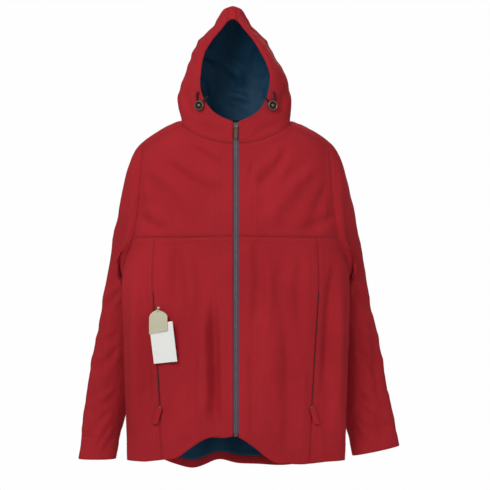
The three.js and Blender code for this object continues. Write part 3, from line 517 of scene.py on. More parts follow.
hoodRows = 10
faceCols = centreCols
hoodCols = faceCols + 1 + backNeckCols - 2
forehead = np.array((hoodForm["strip"], -30.0, hoodForm["openingHeight"] - 3))
zipY = float(net["frontYoke"][0][yokeRows][1])
openingLine = catmullRom([
    (body["zipEdge"], zipY, -neck["zipTop"]), (50, zipY + 4, 9),
                          (hoodForm["openingHalf"] - 8, zipY + 9, 42),
    (hoodForm["openingHalf"], zipY + 14, 84), (hoodForm["openingHalf"] - 8, zipY + 22, 128),
    (hoodForm["openingHalf"] - 25, zipY + 31, 163), (32, zipY + 38, 192), forehead])
hoodSideLine = catmullRom([
    (neck["half"], 0, 0), (hoodForm["half"], 2, 26), (hoodForm["half"] - 4, 4, 56), (115, 5, 88),
                           (103, 4, 120),
    (88, 2, 147), (66, -2, 176), (44, -8, 204), (25, -17, 230), forehead])
stripLine = catmullRom([
    shoulderPoint(*backNeck[backNeckCols - 1]), (38, hoodForm["back"] - 8, 45),
                        (32, hoodForm["back"] - 4, 100),
    (26, hoodForm["back"] - 16, 160), (20, hoodForm["back"] - 44, 212),
                        (hoodForm["strip"], 4, hoodForm["height"] - 7),
    (hoodForm["strip"], -16, hoodForm["height"] - 12), forehead])
neckRow = [net["frontYoke"][i][yokeRows] for i in range(faceCols + 1)]
neckRow += [net["backYoke"][i][backYokeRows] for i in range(sideCols + 1, backCols)]


def hoodRowShape(row, i):
    face = np.array((body["zipEdge"], zipY,
                     -neck["front"])) if row == 0 else openingLine((row - 1) / (hoodRows - 1))
    side, strip = hoodSideLine(row / hoodRows), stripLine(row / hoodRows)
    if i <= faceCols:
        a = i / (faceCols + 1) * quarter
        return np.array((mixed(face[0], side[0], math.sin(a)), mixed(side[1], face[1], math.cos(a)),
                         mixed(face[2], side[2], math.sin(a))))
    a = (i - faceCols - 1) / (hoodCols - faceCols - 1) * quarter
    return np.array((mixed(strip[0], side[0], math.cos(a)), mixed(side[1], strip[1], math.sin(a)),
                     mixed(side[2], strip[2], math.sin(a))))


net["hoodSide"] = [[neckRow[i] if j == 0 else forehead if j == hoodRows else
                    hoodRowShape(j, i) + (neckRow[i] - hoodRowShape(0, i)) * (1 - j / hoodRows) ** 4
                    for j in range(hoodRows + 1)] for i in range(hoodCols + 1)]
stripSide = net["hoodSide"][hoodCols]


def stripMiddle(j):
    if j == 0:
        return net["backYoke"][backCols][backYokeRows]
    along = stripSide[min(j + 1, hoodRows)] - stripSide[j - 1]
    along = along / np.linalg.norm(along)
    crown = 0.22 * stripSide[j][0]
    return np.array((0, stripSide[j][1] + crown * along[2], stripSide[j][2] - crown * along[1]))


net["hoodStrip"] = [stripSide, [stripMiddle(j) for j in range(hoodRows + 1)]]

# Sleeves: the first ring is the armhole itself
armhole = (net["frontSide"][sideCols][lowRows:panelRows] + net["frontYoke"][frontCols][:yokeRows]
           + net["backYoke"][0][1:][::-1] + net["backPanel"][0][lowRows + 1:][::-1])
spokes = len(armhole)
capRows, forearmRows = 6, 6
sleeveRows = capRows + forearmRows + 1
tipSpoke = armRows + yokeRows + 2
bicepZ = -body["armpit"] - 75
sleeveLine = catmullRom([(243, 76, bicepZ), (261, 70, bicepZ - 110), (282, 61, bicepZ - 220),
                         (arm["cuffX"], arm["cuffY"], -arm["end"])])
armCentre = sum(armhole) / spokes
cuffShare = 1 - arm["hem"] / (arm["end"] + bicepZ)


def sleevePoint(k, along):
    centre = sleeveLine(along)
    wide = mixed(arm["bicepHalf"], arm["cuffHalf"], along)
    deep = mixed(arm["bicepDepth"], arm["cuffDepth"], along)
    if k <= tipSpoke:
        angle = math.pi * (1 - k / tipSpoke) ** arm["fan"]
    else:
        angle = -math.pi * (k - tipSpoke) / (spokes - tipSpoke)
    drop = mixed(*arm["tilt"], along) * wide * math.cos(angle)
    return np.array((centre[0] + wide * math.cos(angle), centre[1] - deep * math.sin(angle),
                     centre[2] - drop))


def armholeSkin(k):
    # outward direction of the body at the armhole, from its neighbours round the body's oval
    p = armhole[k]
    depth = body["frontDepth"] if p[1] < 0 else body["backDepth"]
    side = np.array((p[0] / bodyHalf(p[2]) ** 2, p[1] / depth ** 2, 0.0))
    side /= np.linalg.norm(side)
    top = np.array((0.35, p[1] / depth, 1.0))
    skin = side + top * eased(p[2], -body["round"] * 2, -20) * 0.8
    return skin / np.linalg.norm(skin)


def sleeveCap(k, t):
    skin, start, end = armholeSkin(k), armhole[k], sleevePoint(k, 0)
    below = sleevePoint(k, 0.1) - end
    out = start - armCentre
    first = start + skin * 20 + np.array((32, 8 if out[1] > 0 else 0, -12 * eased(out[2], -60, 60)))
    second = end - below / np.linalg.norm(below) * np.linalg.norm(start - end) * 0.34
    return start * (1 - t) ** 3 + first * 3 * t * (1 - t) ** 2 + second * 3 * t * t * (1 - t) + end * t ** 3


def clearOfBody(p, gap):
    depth = body["frontDepth"] if p[1] < 0 else body["backDepth"]
    share = math.hypot(p[0] / bodyHalf(p[2]), p[1] / depth)
    least = 1 + gap / math.hypot(p[0], p[1])
    if p[2] < -body["round"] and share < least:
        p = p * np.array((least / share, least / share, 1))
    return p


def sleeveSpoke(k):
    column = []
    for j in range(sleeveRows + 1):
        if j == 0:
            column.append(armhole[k])
        elif j <= capRows:
            column.append(clearOfBody(sleeveCap(k, j / capRows), min(1, j / 2) * arm["clear"]))
        elif j < sleeveRows:
            column.append(clearOfBody(sleevePoint(k, cuffShare * (j - capRows) / forearmRows),
                                      arm["clear"]))
        else:
            column.append(sleevePoint(k, 1))
    return column


net["sleeve"] = [sleeveSpoke(k % spokes) for k in range(spokes + 1)][::-1]
print("form laid out")

# One seamless net for both sides, made smooth, then folded and cut into its pieces

def shiftOf(grid, rowsOnly):
    # mean distance along the columns or the rows, so that the cloth map is in true lengths
    pts = np.array(grid)
    gaps = np.linalg.norm(np.diff(pts, axis=1 if rowsOnly else 0), axis=2).mean(axis=0 if rowsOnly else 1)
    return np.concatenate(([0], np.cumsum(gaps)))


smoothing = {"levels": 3}
mapCells = 32          # the grid map runs from 0 to 1 over this many coarse cells
panelNames = ["frontCentre", "frontSide", "frontYoke", "sleeve", "hoodSide", "backPanel", "backYoke",
              "hoodStrip"]
wholePanels = ("backPanel", "backYoke", "hoodStrip")      # cut in one across the centre back
vertIndex, netVerts, netFaces, netIds, gridUvs, clothUvs = {}, [], [], [], [], []


def vertOf(p):
    key = tuple(np.round(p, 2) + 0.0)
    if key not in vertIndex:
        vertIndex[key] = len(netVerts)
        netVerts.append(p)
    return vertIndex[key]


for panelId, panelName in enumerate(panelNames):
    grid = net[panelName]
    across, along = shiftOf(grid, False), shiftOf(grid, True)
    if panelName in wholePanels:
        across = across - across[-1]          # counted from the centre back, so both halves meet
    for mirror in (1, -1):
        for i in range(len(grid) - 1):
            for j in range(len(grid[0]) - 1):
                ring = [(i, j), (i + 1, j), (i + 1, j + 1), (i, j + 1)][::mirror]
                verts = [vertOf(grid[a][b] * (mirror, 1, 1)) for a, b in ring]
                keep = [k for k in range(4) if verts[k] != verts[k - 1]]
                netFaces.append([verts[k] for k in keep])
                netIds.append(panelId * 2 + (mirror < 0))
                gridUvs += [(ring[k][0] / mapCells, ring[k][1] / mapCells) for k in keep]
                clothUvs += [(mirror * across[ring[k][0]] / 1000, along[ring[k][1]] / 1000) for k in keep]

netMesh = bpy.data.meshes.new("net")
netMesh.from_pydata([tuple(p) for p in netVerts], [], netFaces)
netMesh.polygons.foreach_set("material_index", netIds)
for layerName, values in (("gridMap", gridUvs), ("cloth", clothUvs)):
    netMesh.uv_layers.new(name=layerName).data.foreach_set("uv", np.array(values, np.float32).ravel())
for _ in panelNames * 2:
    netMesh.materials.append(None)      # one empty slot for each panel and side
creases = netMesh.attributes.new("crease_vert", "FLOAT", "POINT")
for turn in (1, -1):      # the opening runs level to the zip's top
    creases.data[vertOf(net["hoodSide"][0][1] * (turn, 1, 1))].value = 1.0
netObj = newObject("net", netMesh)
smoothMod = netObj.modifiers.new("smooth", "SUBSURF")
smoothMod.levels = smoothMod.render_levels = smoothing["levels"]
smoothMod.uv_smooth = "NONE"
smoothMod.boundary_smooth = "PRESERVE_CORNERS"
fineMesh = bpy.data.meshes.new_from_object(netObj.evaluated_get(bpy.context.evaluated_depsgraph_get()))
bpy.data.objects.remove(netObj)


def readArray(data, name, size, kind=np.float32):
    out = np.zeros(len(data) * size, kind)
    data.foreach_get(name, out)
    return out.reshape(-1, size) if size > 1 else out


restCo = readArray(fineMesh.vertices, "co", 3).astype(float)
faceVerts = readArray(fineMesh.loops, "vertex_index", 1, np.int32).reshape(-1, 4)
faceIds = readArray(fineMesh.polygons, "material_index", 1, np.int32)
gridMap = readArray(fineMesh.uv_layers["gridMap"].data, "uv", 2).reshape(-1, 4, 2) * mapCells
clothMap = readArray(fineMesh.uv_layers["cloth"].data, "uv", 2).reshape(-1, 4, 2)
facePanel, faceRight = faceIds // 2, faceIds % 2
# which coarse column and row a face came from
faceCell = np.floor(gridMap.mean(axis=1) + 1e-4).astype(int)
print("fine net:", len(restCo), "points,", len(faceVerts), "faces")


def vertexNormals(co):
    a, b, c, d = (co[faceVerts[:, k]] for k in range(4))
    n = np.cross(c - a, d - b)
    out = np.zeros_like(co)
    for k in range(4):
        np.add.at(out, faceVerts[:, k], n)
    return out / np.maximum(1e-9, np.linalg.norm(out, axis=1))[:, None]


def panelVerts(*names):
    wanted = [panelNames.index(n) for n in names]
    mark = np.zeros(len(restCo), bool)
    mark[faceVerts[np.isin(facePanel, wanted)].ravel()] = True
    return mark


onTorso = panelVerts("frontCentre", "frontSide", "frontYoke", "backPanel", "backYoke")
onHood = panelVerts("hoodSide", "hoodStrip") & ~onTorso
onArm = panelVerts("sleeve") & ~onTorso
pieceOf = np.where(np.isin(facePanel, [panelNames.index(n) for n in wholePanels]), facePanel * 2, faceIds)
pairs = np.concatenate([np.sort(np.stack([faceVerts[:, k], faceVerts[:, (k + 1) % 4]], 1),
                                1) for k in range(4)])
pairPiece = np.tile(pieceOf, 4)
order = np.lexsort((pairs[:, 1], pairs[:, 0]))
pairs, pairPiece = pairs[order], pairPiece[order]
same = np.all(pairs[1:] == pairs[:-1], axis=1)
seamEdges = pairs[1:][same & (pairPiece[1:] != pairPiece[:-1])]
alone = np.ones(len(pairs), bool)
alone[1:] &= ~same
alone[:-1] &= ~same
openEdges = pairs[alone]

# Distance of every point to the nearest of these edges, at most reach
def distanceFrom(edges, reach):
    dots = [mixed(restCo[a], restCo[b], t) for a, b in edges for t in (0, 0.34, 0.67, 1)]
    tree = KDTree(len(dots))
    for k, p in enumerate(dots):
        tree.insert(p, k)
    tree.balance()
    return np.array([min(reach, tree.find(p)[2]) for p in restCo])


seamFar = distanceFrom(seamEdges, 40.0)
openFar = distanceFrom(openEdges, 60.0)


def noiseField(co, scale, seed, octaves=1):
    # soft noise from -1 to 1; scale is the size of its lumps in millimetres along each axis
    p = co / np.array(scale) + np.array((seed * 17.3, seed * 5.1, seed * 9.7))
    out = np.zeros(len(co))
    for k in range(octaves):
        out += np.array([noise.noise(Vector(q)) for q in p * 2 ** k]) * 0.55 ** k
    return out


def fold(co, start, end, width, depth, bow=0.0):
    # a long soft ridge between two points, or a valley where the depth is below zero
    a, b = np.array(start, float), np.array(end, float)
    run = b - a
    length = np.linalg.norm(run)
    run /= length
    rel = co[:, [0, 2]] - a
    s = rel @ run / length
    off = rel @ np.array((-run[1], run[0])) - bow * 4 * s * (1 - s)
    ends = np.clip(np.minimum((s + 0.12) / 0.35, (1.12 - s) / 0.35), 0, 1)
    ends = ends * ends * (3 - 2 * ends)
    wide = width * (0.6 + 0.6 * np.clip(s, 0, 1))
    beside = np.exp(-((np.abs(off) - 1.9 * wide) / wide) ** 2)
    return depth * ends * (np.exp(-(off / wide) ** 2) - 0.35 * beside)


# Folds as start, end, half width, depth and bow, seen from in front with x to the wearer's left
frontFolds = [
    ((-48, -400), (-44, -690), 13, -7.5, 0), ((-22, -430), (-26, -690), 11, 3.5, 0),
              ((-74, -420), (-70, -685), 14, 4.0, 0),
    ((-132, -285), (-126, -415), 15, -4.0, 0), ((-104, -270), (-98, -520), 16, 3.0, 5),
              ((-205, -330), (-190, -640), 16, -4.5, 8),
    ((-226, -380), (-222, -700), 13, 4.0, 0), ((-170, -560), (-150, -720), 16, -3.0, 0),
    ((40, -265), (50, -450), 15, -4.0, 4), ((74, -330), (70, -600), 18, 3.5, -6),
              ((105, -420), (112, -720), 17, -4.5, 6),
    ((140, -300), (136, -520), 16, -3.0, 0), ((212, -340), (196, -600), 15, -5.0, -8),
              ((232, -380), (226, -700), 13, 4.0, 0),
    ((28, -520), (40, -690), 12, -3.0, 0), ((150, -560), (168, -730), 16, 3.0, 0),
    ((-150, -95), (-30, -175), 14, -3.4, -8), ((-190, -110), (-70, -240), 17, 3.0, 10),
              ((-100, -62), (-34, -112), 11, -3.2, 0),
    ((38, -100), (18, -165), 10, -3.0, 0), ((110, -75), (40, -160), 13, -3.0, 6),
              ((175, -105), (70, -235), 16, 2.8, -10),
    ((-222, -215), (-150, -262), 14, -3.5, 6), ((222, -215), (150, -262), 14, -3.5, -6),
              ((196, -150), (160, -250), 13, -2.6, 0),
    ((-200, -150), (-170, -245), 13, 2.6, 0),
]
backFolds = [
    ((-60, -120), (-20, -380), 20, -4.0, 6), ((60, -120), (24, -380), 20, -4.0, -6),
             ((-150, -200), (-110, -560), 20, 4.5, 8),
    ((150, -200), (118, -560), 20, 4.5, -8), ((-90, -430), (-100, -740), 17, -5.0, 0),
             ((20, -420), (8, -745), 17, 4.5, 4),
    ((96, -440), (104, -740), 17, -5.0, 0), ((-206, -330), (-196, -700), 15, -5.0, 0),
             ((206, -330), (196, -700), 15, -5.0, 0),
    ((-36, -520), (-42, -745), 13, -3.0, 0), ((60, -540), (56, -745), 13, 3.0, 0),
]
armFolds = [
    # along the wearer's left sleeve, and mirrored for the right
    ((238, -150), (262, -330), 11, -3.5, 0), ((262, -210), (300, -420), 13, 3.0, 4),
            ((232, -300), (262, -360), 9, -4.0, 0),
    ((252, -380), (300, -430), 9, -3.2, 0), ((262, -470), (316, -500), 9, 2.6, 4),
            ((256, -510), (312, -560), 10, -3.4, -4),
    ((290, -450), (318, -700), 12, -2.6, 0), ((264, -600), (316, -640), 9, 2.4, 0),
            ((270, -650), (330, -720), 10, -3.0, 5),
    ((262, -690), (300, -745), 8, 2.4, 0),
]
hoodFolds = [
    ((96, 6), (118, 70), 8, -2.4, 3), ((80, 100), (104, 150), 9, -2.2, 0),
             ((64, 150), (84, 190), 8, 2.4, 0), ((30, -50), (96, -20), 9, -3.0, 6),
    ((20, -20), (70, 12), 8, 2.0, -4), ((92, 20), (84, 120), 9, 2.2, 4), ((40, 180), (60, 214), 7, -2.4, 0),
]
mirrored = restCo * (-1, 1, 1)
drape = {"torsoFolds": 1.55, "armFolds": 1.4, "deepest": -15, "highest": 9, "seamDip": 0.5, "seamWide": 3.0,
         "lowFrom": 560, "hemOver": 130, "cuffOver": 160, "hemRise": 56, "rightFall": 52, "leftFall": 60,
         "centreLift": 3, "cuffLift": 18, "cuffTilt": 0.133, "otherTilt": 0.08, "cuffPull": 0.2,
         "shoulderLift": 6, "hoodLean": 7, "peakLift": 5}


def foldSum(co, folds):
    return sum(fold(co, *item) for item in folds)


normals = vertexNormals(restCo)
front = np.clip(-normals[:, 1] * 1.6, 0, 1)
back = np.clip(normals[:, 1] * 1.6, 0, 1)
height = np.zeros(len(restCo))
torsoFolds = drape["torsoFolds"] * (front * foldSum(restCo, frontFolds) + back * foldSum(restCo, backFolds))
torsoNoise = (2.6 * noiseField(restCo, (52, 60, 190), 1,
                               2) + 1.5 * (0.5 - np.abs(noiseField(restCo, (70, 70, 120), 2))) * 2
              + 1.0 * noiseField(restCo, (22, 26, 60), 3, 2))
hemLift = np.clip((-restCo[:, 2] - 380) / 320, 0, 1)
height += np.where(onTorso, torsoFolds + torsoNoise * (0.65 + 0.6 * hemLift), 0)
armSide = np.where(restCo[:, 0] > 0, 1, -1)
armCo = np.where(armSide[:, None] > 0, restCo, mirrored)
armNoise = (2.4 * noiseField(restCo, (40, 60, 90), 4, 2) + 1.8 * noiseField(restCo + armSide[:, None] * 300,
        (60, 50, 34), 5, 2)
            + 0.9 * noiseField(restCo, (18, 20, 26), 6, 2))
capFade = np.clip((-armCo[:, 2] - 60) / 200, 0.35, 1)
height += np.where(onArm, (drape["armFolds"] * foldSum(armCo, armFolds) * np.clip(0.35 - normals[:, 1], 0,
        1) + armNoise) * capFade, 0)
hoodNoise = 2.4 * noiseField(restCo, (80, 60, 100), 7, 1) + 0.7 * noiseField(restCo, (34, 30, 40), 8, 2)
hoodBackLines = [((-70, 150), (20, 90), 12, -6, 8), ((60, 170), (30, 60), 13, 5, -6),
                 ((-20, 60), (70, 30), 11, -5, 5), ((-60, 70), (-30, 10), 10, 5, 0),
                                 ((84, 110), (70, 40), 10, -5, 0), ((-90, 100), (-60, 40), 12, -5, 4)]
hoodBackFolds = foldSum(restCo, hoodBackLines)
height += np.where(onHood, foldSum(armCo, hoodFolds) + hoodNoise + back * hoodBackFolds, 0)
calm = np.clip(seamFar / 22, 0.3, 1) * np.clip(openFar / 30, 0.25, 1)
nearZip = np.clip((np.abs(restCo[:, 0]) - 12) / 26, 0, 1)
height *= calm * np.where((restCo[:, 1] < -40) & (restCo[:, 2] < 0), nearZip, 1)
pocketLine = np.interp(restCo[:, 2], (pocket["end"][1], pocket["top"][1]),
                       (pocket["end"][0], pocket["top"][0]))
nearPocket = np.clip(np.abs(np.abs(restCo[:, 0]) - pocketLine) / 26, 0.12, 1)       # the sliders run here
height *= np.where(onTorso & (restCo[:, 1] < 0) & (restCo[:, 2] < pocket["top"][1] + 20), nearPocket, 1)
height -= drape["seamDip"] * np.exp(-(seamFar / drape["seamWide"]) ** 2)
height = np.clip(height, drape["deepest"], drape["highest"])
co = restCo + normals * height[:, None]

# How this jacket hangs: a wavy hem, cuffs that are not alike, bowed sleeves and a leaning hood
x, z = co[:, 0], co[:, 2]
low = np.clip((-z - drape["lowFrom"]) / drape["hemOver"], 0, 1)
easedArray = np.vectorize(eased, otypes=[float])
spread = np.abs(x)
hemRise = drape["hemRise"] * easedArray(spread, 16, 118)
frontHem = np.where(x < 0, drape["centreLift"] + hemRise - drape["rightFall"] * easedArray(spread, 45, 145),
                    hemRise - drape["leftFall"] * easedArray(spread, 5, 100))


def hump(at, width, depth):
    return depth * np.exp(-((x - at) / width) ** 2)


backHem = hump(-186, 30, 12) + hump(-98, 32, -9) + hump(-37, 28, 10) + hump(97, 40, -3) + hump(190, 30, 5)
hemShift = np.where(restCo[:, 1] < 0, frontHem * np.clip((200 - spread) / 50, 0, 1), backHem)
cuffNear = np.clip((-z - drape["lowFrom"]) / drape["cuffOver"], 0, 1) ** 1.5
cuffLift = np.where(x > 0, drape["cuffLift"] + (x - arm["cuffX"]) * drape["cuffTilt"],
                    (arm["cuffX"] - spread) * drape["otherTilt"])
co[:, 2] += np.where(onTorso, hemShift * low ** 2, 0) + np.where(onArm, cuffLift * cuffNear, 0)
co[:, 0] += np.where(onArm & (x < 0), (-305 - x) * drape["cuffPull"] * cuffNear, 0)
bowAt = (230, 400, 506, 610, 717, 760)       # down the sleeve, in millimetres below the hang loop
armBow = np.where(x > 0, np.interp(-z, bowAt, (0, 9, 16, 11, 9, 9)),
                  -np.interp(-z, bowAt, (0, 7, 9, 7, 7, 7)))
co[:, 0] += np.where(onArm, armBow, 0)
co[:, 2] += drape["shoulderLift"] * np.exp(-((spread - 155) / 42) ** 2) * np.clip((z + 90) / 60, 0, 1)
crown = np.interp(z, (145, 175, 190, 207, 224, 250), (0, 0.03, 0.1, 0.24, 0.3, 0.25))
co[:, 0] += np.where(onHood, -x * crown - drape["hoodLean"] * np.clip((z - 95) / 50, 0, 1), 0)
co[:, 2] += np.where(onHood, drape["peakLift"] * np.clip((z - 195) / 40, 0, 1), 0)
co[:, 0] += np.where(onHood & (x < 0), -drape["hoodLean"] * np.exp(-((z - 62) / 42) ** 2) * spread / 126, 0)
normals = vertexNormals(co)
print("folds laid in")

# The stitched allowance beside each seam is drawn by the cloth's own bump, from this run of 0 to 1 over 20 mm
seamRun = np.clip(np.minimum(seamFar, 20) / 20, 0, 1)


def finishMesh(name, verts, faces, uvs, material, run=None):
    mesh = bpy.data.meshes.new(name)
    mesh.from_pydata([(x / 1000, (y + shiftY) / 1000, z / 1000) for x, y, z in verts], [], faces)
    if uvs is not None:
        mesh.uv_layers.new(name="cloth").data.foreach_set("uv", np.array(uvs, np.float32).ravel())
    if run is not None:
        mesh.attributes.new("seamRun", "FLOAT", "POINT").data.foreach_set("value",
                np.array(run, np.float32))
    mesh.materials.append(material)
    mesh.shade_smooth()
    return newObject(name, mesh)


def clothPiece(name, faceMask, inset, wall, material):
    # a closed layer of cloth: outer side, inner side and a rounded rim along its open edges
    quads, uv = faceVerts[faceMask], clothMap[faceMask]
    used, local = np.unique(quads, return_inverse=True)
    quads = local.reshape(-1, 4)
    p, n = co[used], normals[used]
    outer = p - n * inset
    inner = outer - n * wall
    count = len(used)
    owners = {}
    for f, quad in enumerate(quads.tolist()):
        for k in range(4):
            a, b = quad[k], quad[(k + 1) % 4]
            if (b, a) in owners:
                del owners[(b, a)]
            else:
                owners[(a, b)] = (f, k)
    bulge = np.zeros((count, 3))
    for a, b in owners:
        out = np.cross(p[b] - p[a], n[a] + n[b])
        out /= max(1e-9, np.linalg.norm(out))
        bulge[a] += out
        bulge[b] += out
    rimVerts = sorted({v for edge in owners for v in edge})
    rimIndex = {v: 2 * count + k for k, v in enumerate(rimVerts)}
    rim = bulge[rimVerts]
    rim = (outer[rimVerts] + inner[rimVerts]) / 2 + rim / np.maximum(1e-9, np.linalg.norm(rim, axis=1))[:,
            None] * wall * 0.4
    faces = quads.tolist() + (quads[:, ::-1] + count).tolist()
    uvs = uv.reshape(-1, 2).tolist() + uv[:, ::-1].reshape(-1, 2).tolist()
    for (a, b), (f, k) in owners.items():
        ma, mb = rimIndex[a], rimIndex[b]
        faces += [[b, a, ma, mb], [mb, ma, a + count, b + count]]
        ua, ub = uv[f, k].tolist(), uv[f, (k + 1) % 4].tolist()
        uvs += [ub, ua, ua, ub] * 2
    run = seamRun[used]
    return finishMesh(name, np.concatenate([outer, inner, rim]), faces, uvs, material,
                      np.concatenate([run, run, run[rimVerts]]))


everyCell = (0, 99)
pastFirst = (1, 99)


def maskOf(panelName, side=None, cols=everyCell, rows=everyCell):
    mask = facePanel == panelNames.index(panelName)
    if side is not None:
        mask = mask & (faceRight == (side == "right"))
    for way, (first, stop) in enumerate((cols, rows)):
        mask = mask & (faceCell[:, way] >= first) & (faceCell[:, way] < stop)
    return mask


layers = {"shell": 2.0, "gap": 0.6, "hoodGap": 0.9, "lining": 1.0, "facing": 1.2, "bag": 2.2,
          "bagInset": 0.4, "liningSlack": 1.0}


def rideBody(obj, body, slot, *nodes):
    if body == "hood":
        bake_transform(obj)
    elif body in ("arm_left", "arm_right"):
        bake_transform(obj)
    else:
        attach(obj, body)
    if nodes:
        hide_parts(*nodes)
    return obj


insetFacing = layers["shell"] + layers["gap"]
insetLining = layers["shell"] + 2 * layers["gap"] + layers["bag"] + layers["liningSlack"]
insetHood = layers["shell"] + layers["hoodGap"]


def shellPiece(name, mask, body, node, inset=0, wall="shell"):
    rideBody(clothPiece(name, mask, inset, layers[wall], shellCloth), body, "shell", node)


def liningPiece(name, mask, body, node, inset, wall=layers["lining"]):
    rideBody(clothPiece(name, mask, inset, wall, liningCloth), body, "lining", node)


for side in ("left", "right"):
    armBody = "arm_" + side
    for panelName, node in (("frontCentre", "front_centre_"), ("frontSide", "front_side_"),
                            ("frontYoke", "front_yoke_")):
        shellPiece(f"{panelName}.{side}", maskOf(panelName, side), "body", node + side)
    shellPiece("sleeve." + side, maskOf("sleeve", side), armBody, "sleeve_" + side)
    shellPiece("hoodSide." + side, maskOf("hoodSide", side), "hood", "hood_side_" + side)
    hemBand = maskOf("frontCentre", side, pastFirst, (0, 1)) | maskOf("frontSide", side, everyCell, (0, 1))
    shellPiece("hemFacing." + side, hemBand, "body", "hem_facing_" + side, insetFacing, "facing")
    cuffBand = maskOf("sleeve", side, everyCell, (sleeveRows - 1, sleeveRows))
    shellPiece("cuffFacing." + side, cuffBand, armBody, "cuff_facing_" + side, insetFacing, "facing")
    frontLining = (maskOf("frontCentre", side, pastFirst, pastFirst) | maskOf("frontSide", side, everyCell,
            pastFirst)
                   | maskOf("frontYoke", side, pastFirst))
    liningPiece("frontLining." + side, frontLining, "body", "lining_front_" + side, insetLining)
    sleeveInside = maskOf("sleeve", side, everyCell, (capRows - 1, sleeveRows - 1))
    liningPiece("sleeveLining." + side, sleeveInside, armBody, "lining_sleeve_" + side, insetFacing)
    bagCloth = maskOf("frontCentre", side, (2, 99), (2, lowRows))
    liningPiece("pocketBag." + side, bagCloth, "body", "pocket_bag_" + side,
                insetFacing + layers["bagInset"], layers["bag"] - layers["bagInset"])
shellPiece("backPanel", maskOf("backPanel"), "body", "back_panel")
shellPiece("backYoke", maskOf("backYoke"), "body", "back_yoke")
shellPiece("hoodCentre", maskOf("hoodStrip"), "hood", "hood_centre")
faceRow = gridMap.mean(axis=1)[:, 1]
hemRowShare = 0.5       # the back's hem facing is half a coarse row deep
backHemBand = maskOf("backPanel") & (faceRow < hemRowShare)
shellPiece("backHemFacing", backHemBand, "body", "hem_facing_back", insetFacing, "facing")
backLining = (maskOf("backPanel") & (faceRow > hemRowShare)
              | maskOf("backYoke", None, everyCell, (0, backYokeRows - 2)))
liningPiece("backLining", backLining, "body", "lining_back", insetLining)
brimRows = (hoodRows - 2, hoodRows)
brim = (maskOf("hoodSide", None, (0, 1), (1, hoodRows)) | maskOf("hoodSide", None, pastFirst, brimRows)
        | maskOf("hoodStrip", None, everyCell, brimRows))
shellPiece("hoodFacing", brim, "hood", "hood_facing", insetHood, "facing")
insideRows = (0, hoodRows - 2)
hoodLining = maskOf("hoodSide", None, pastFirst, insideRows) | maskOf("hoodStrip", None, everyCell,
        insideRows)
liningPiece("hoodLining", hoodLining, "hood", "lining_hood", insetHood)
print("cloth pieces cut")

# Stitches and zip teeth: small repeats set along lines by geometry nodes

def panelGrid(panelName, side="left"):
    # the fine points of one half of a panel, by column and row
    mask = (facePanel == panelNames.index(panelName)) & (faceRight == (side == "right"))
    spots = np.round(gridMap[mask] * 2 ** smoothing["levels"]).astype(int).reshape(-1, 2)
    ids = np.full(spots.max(axis=0) + 1, -1)
    ids[spots[:, 0], spots[:, 1]] = faceVerts[mask].ravel()
    return ids


def seamLine(panelName, side, edge, far, start=0.0, stop=1.0):
    # points at a set distance from one edge of a panel; edge is low, high (rows) or left, right (columns)
    ids = panelGrid(panelName, side)
    if edge in ("left", "right"):
        ids = ids.T
    if edge in ("high", "right"):
        ids = ids[:, ::-1]
    line = []
    for k in range(int(round(start * (len(ids) - 1))), int(round(stop * (len(ids) - 1))) + 1):
        track = ids[k][ids[k] >= 0]
        gaps = np.linalg.norm(np.diff(co[track], axis=0), axis=1)
        run = np.concatenate(([0], np.cumsum(gaps)))
        at = min(len(run) - 2, int(np.searchsorted(run, far, side="right")) - 1)
        share = min(1, (far - run[at]) / max(1e-6, gaps[at]))
        a, b = track[at], track[at + 1]
        p = mixed(co[a], co[b], share) + mixed(normals[a], normals[b], share) * 0.25
        line.append(p)
    return line


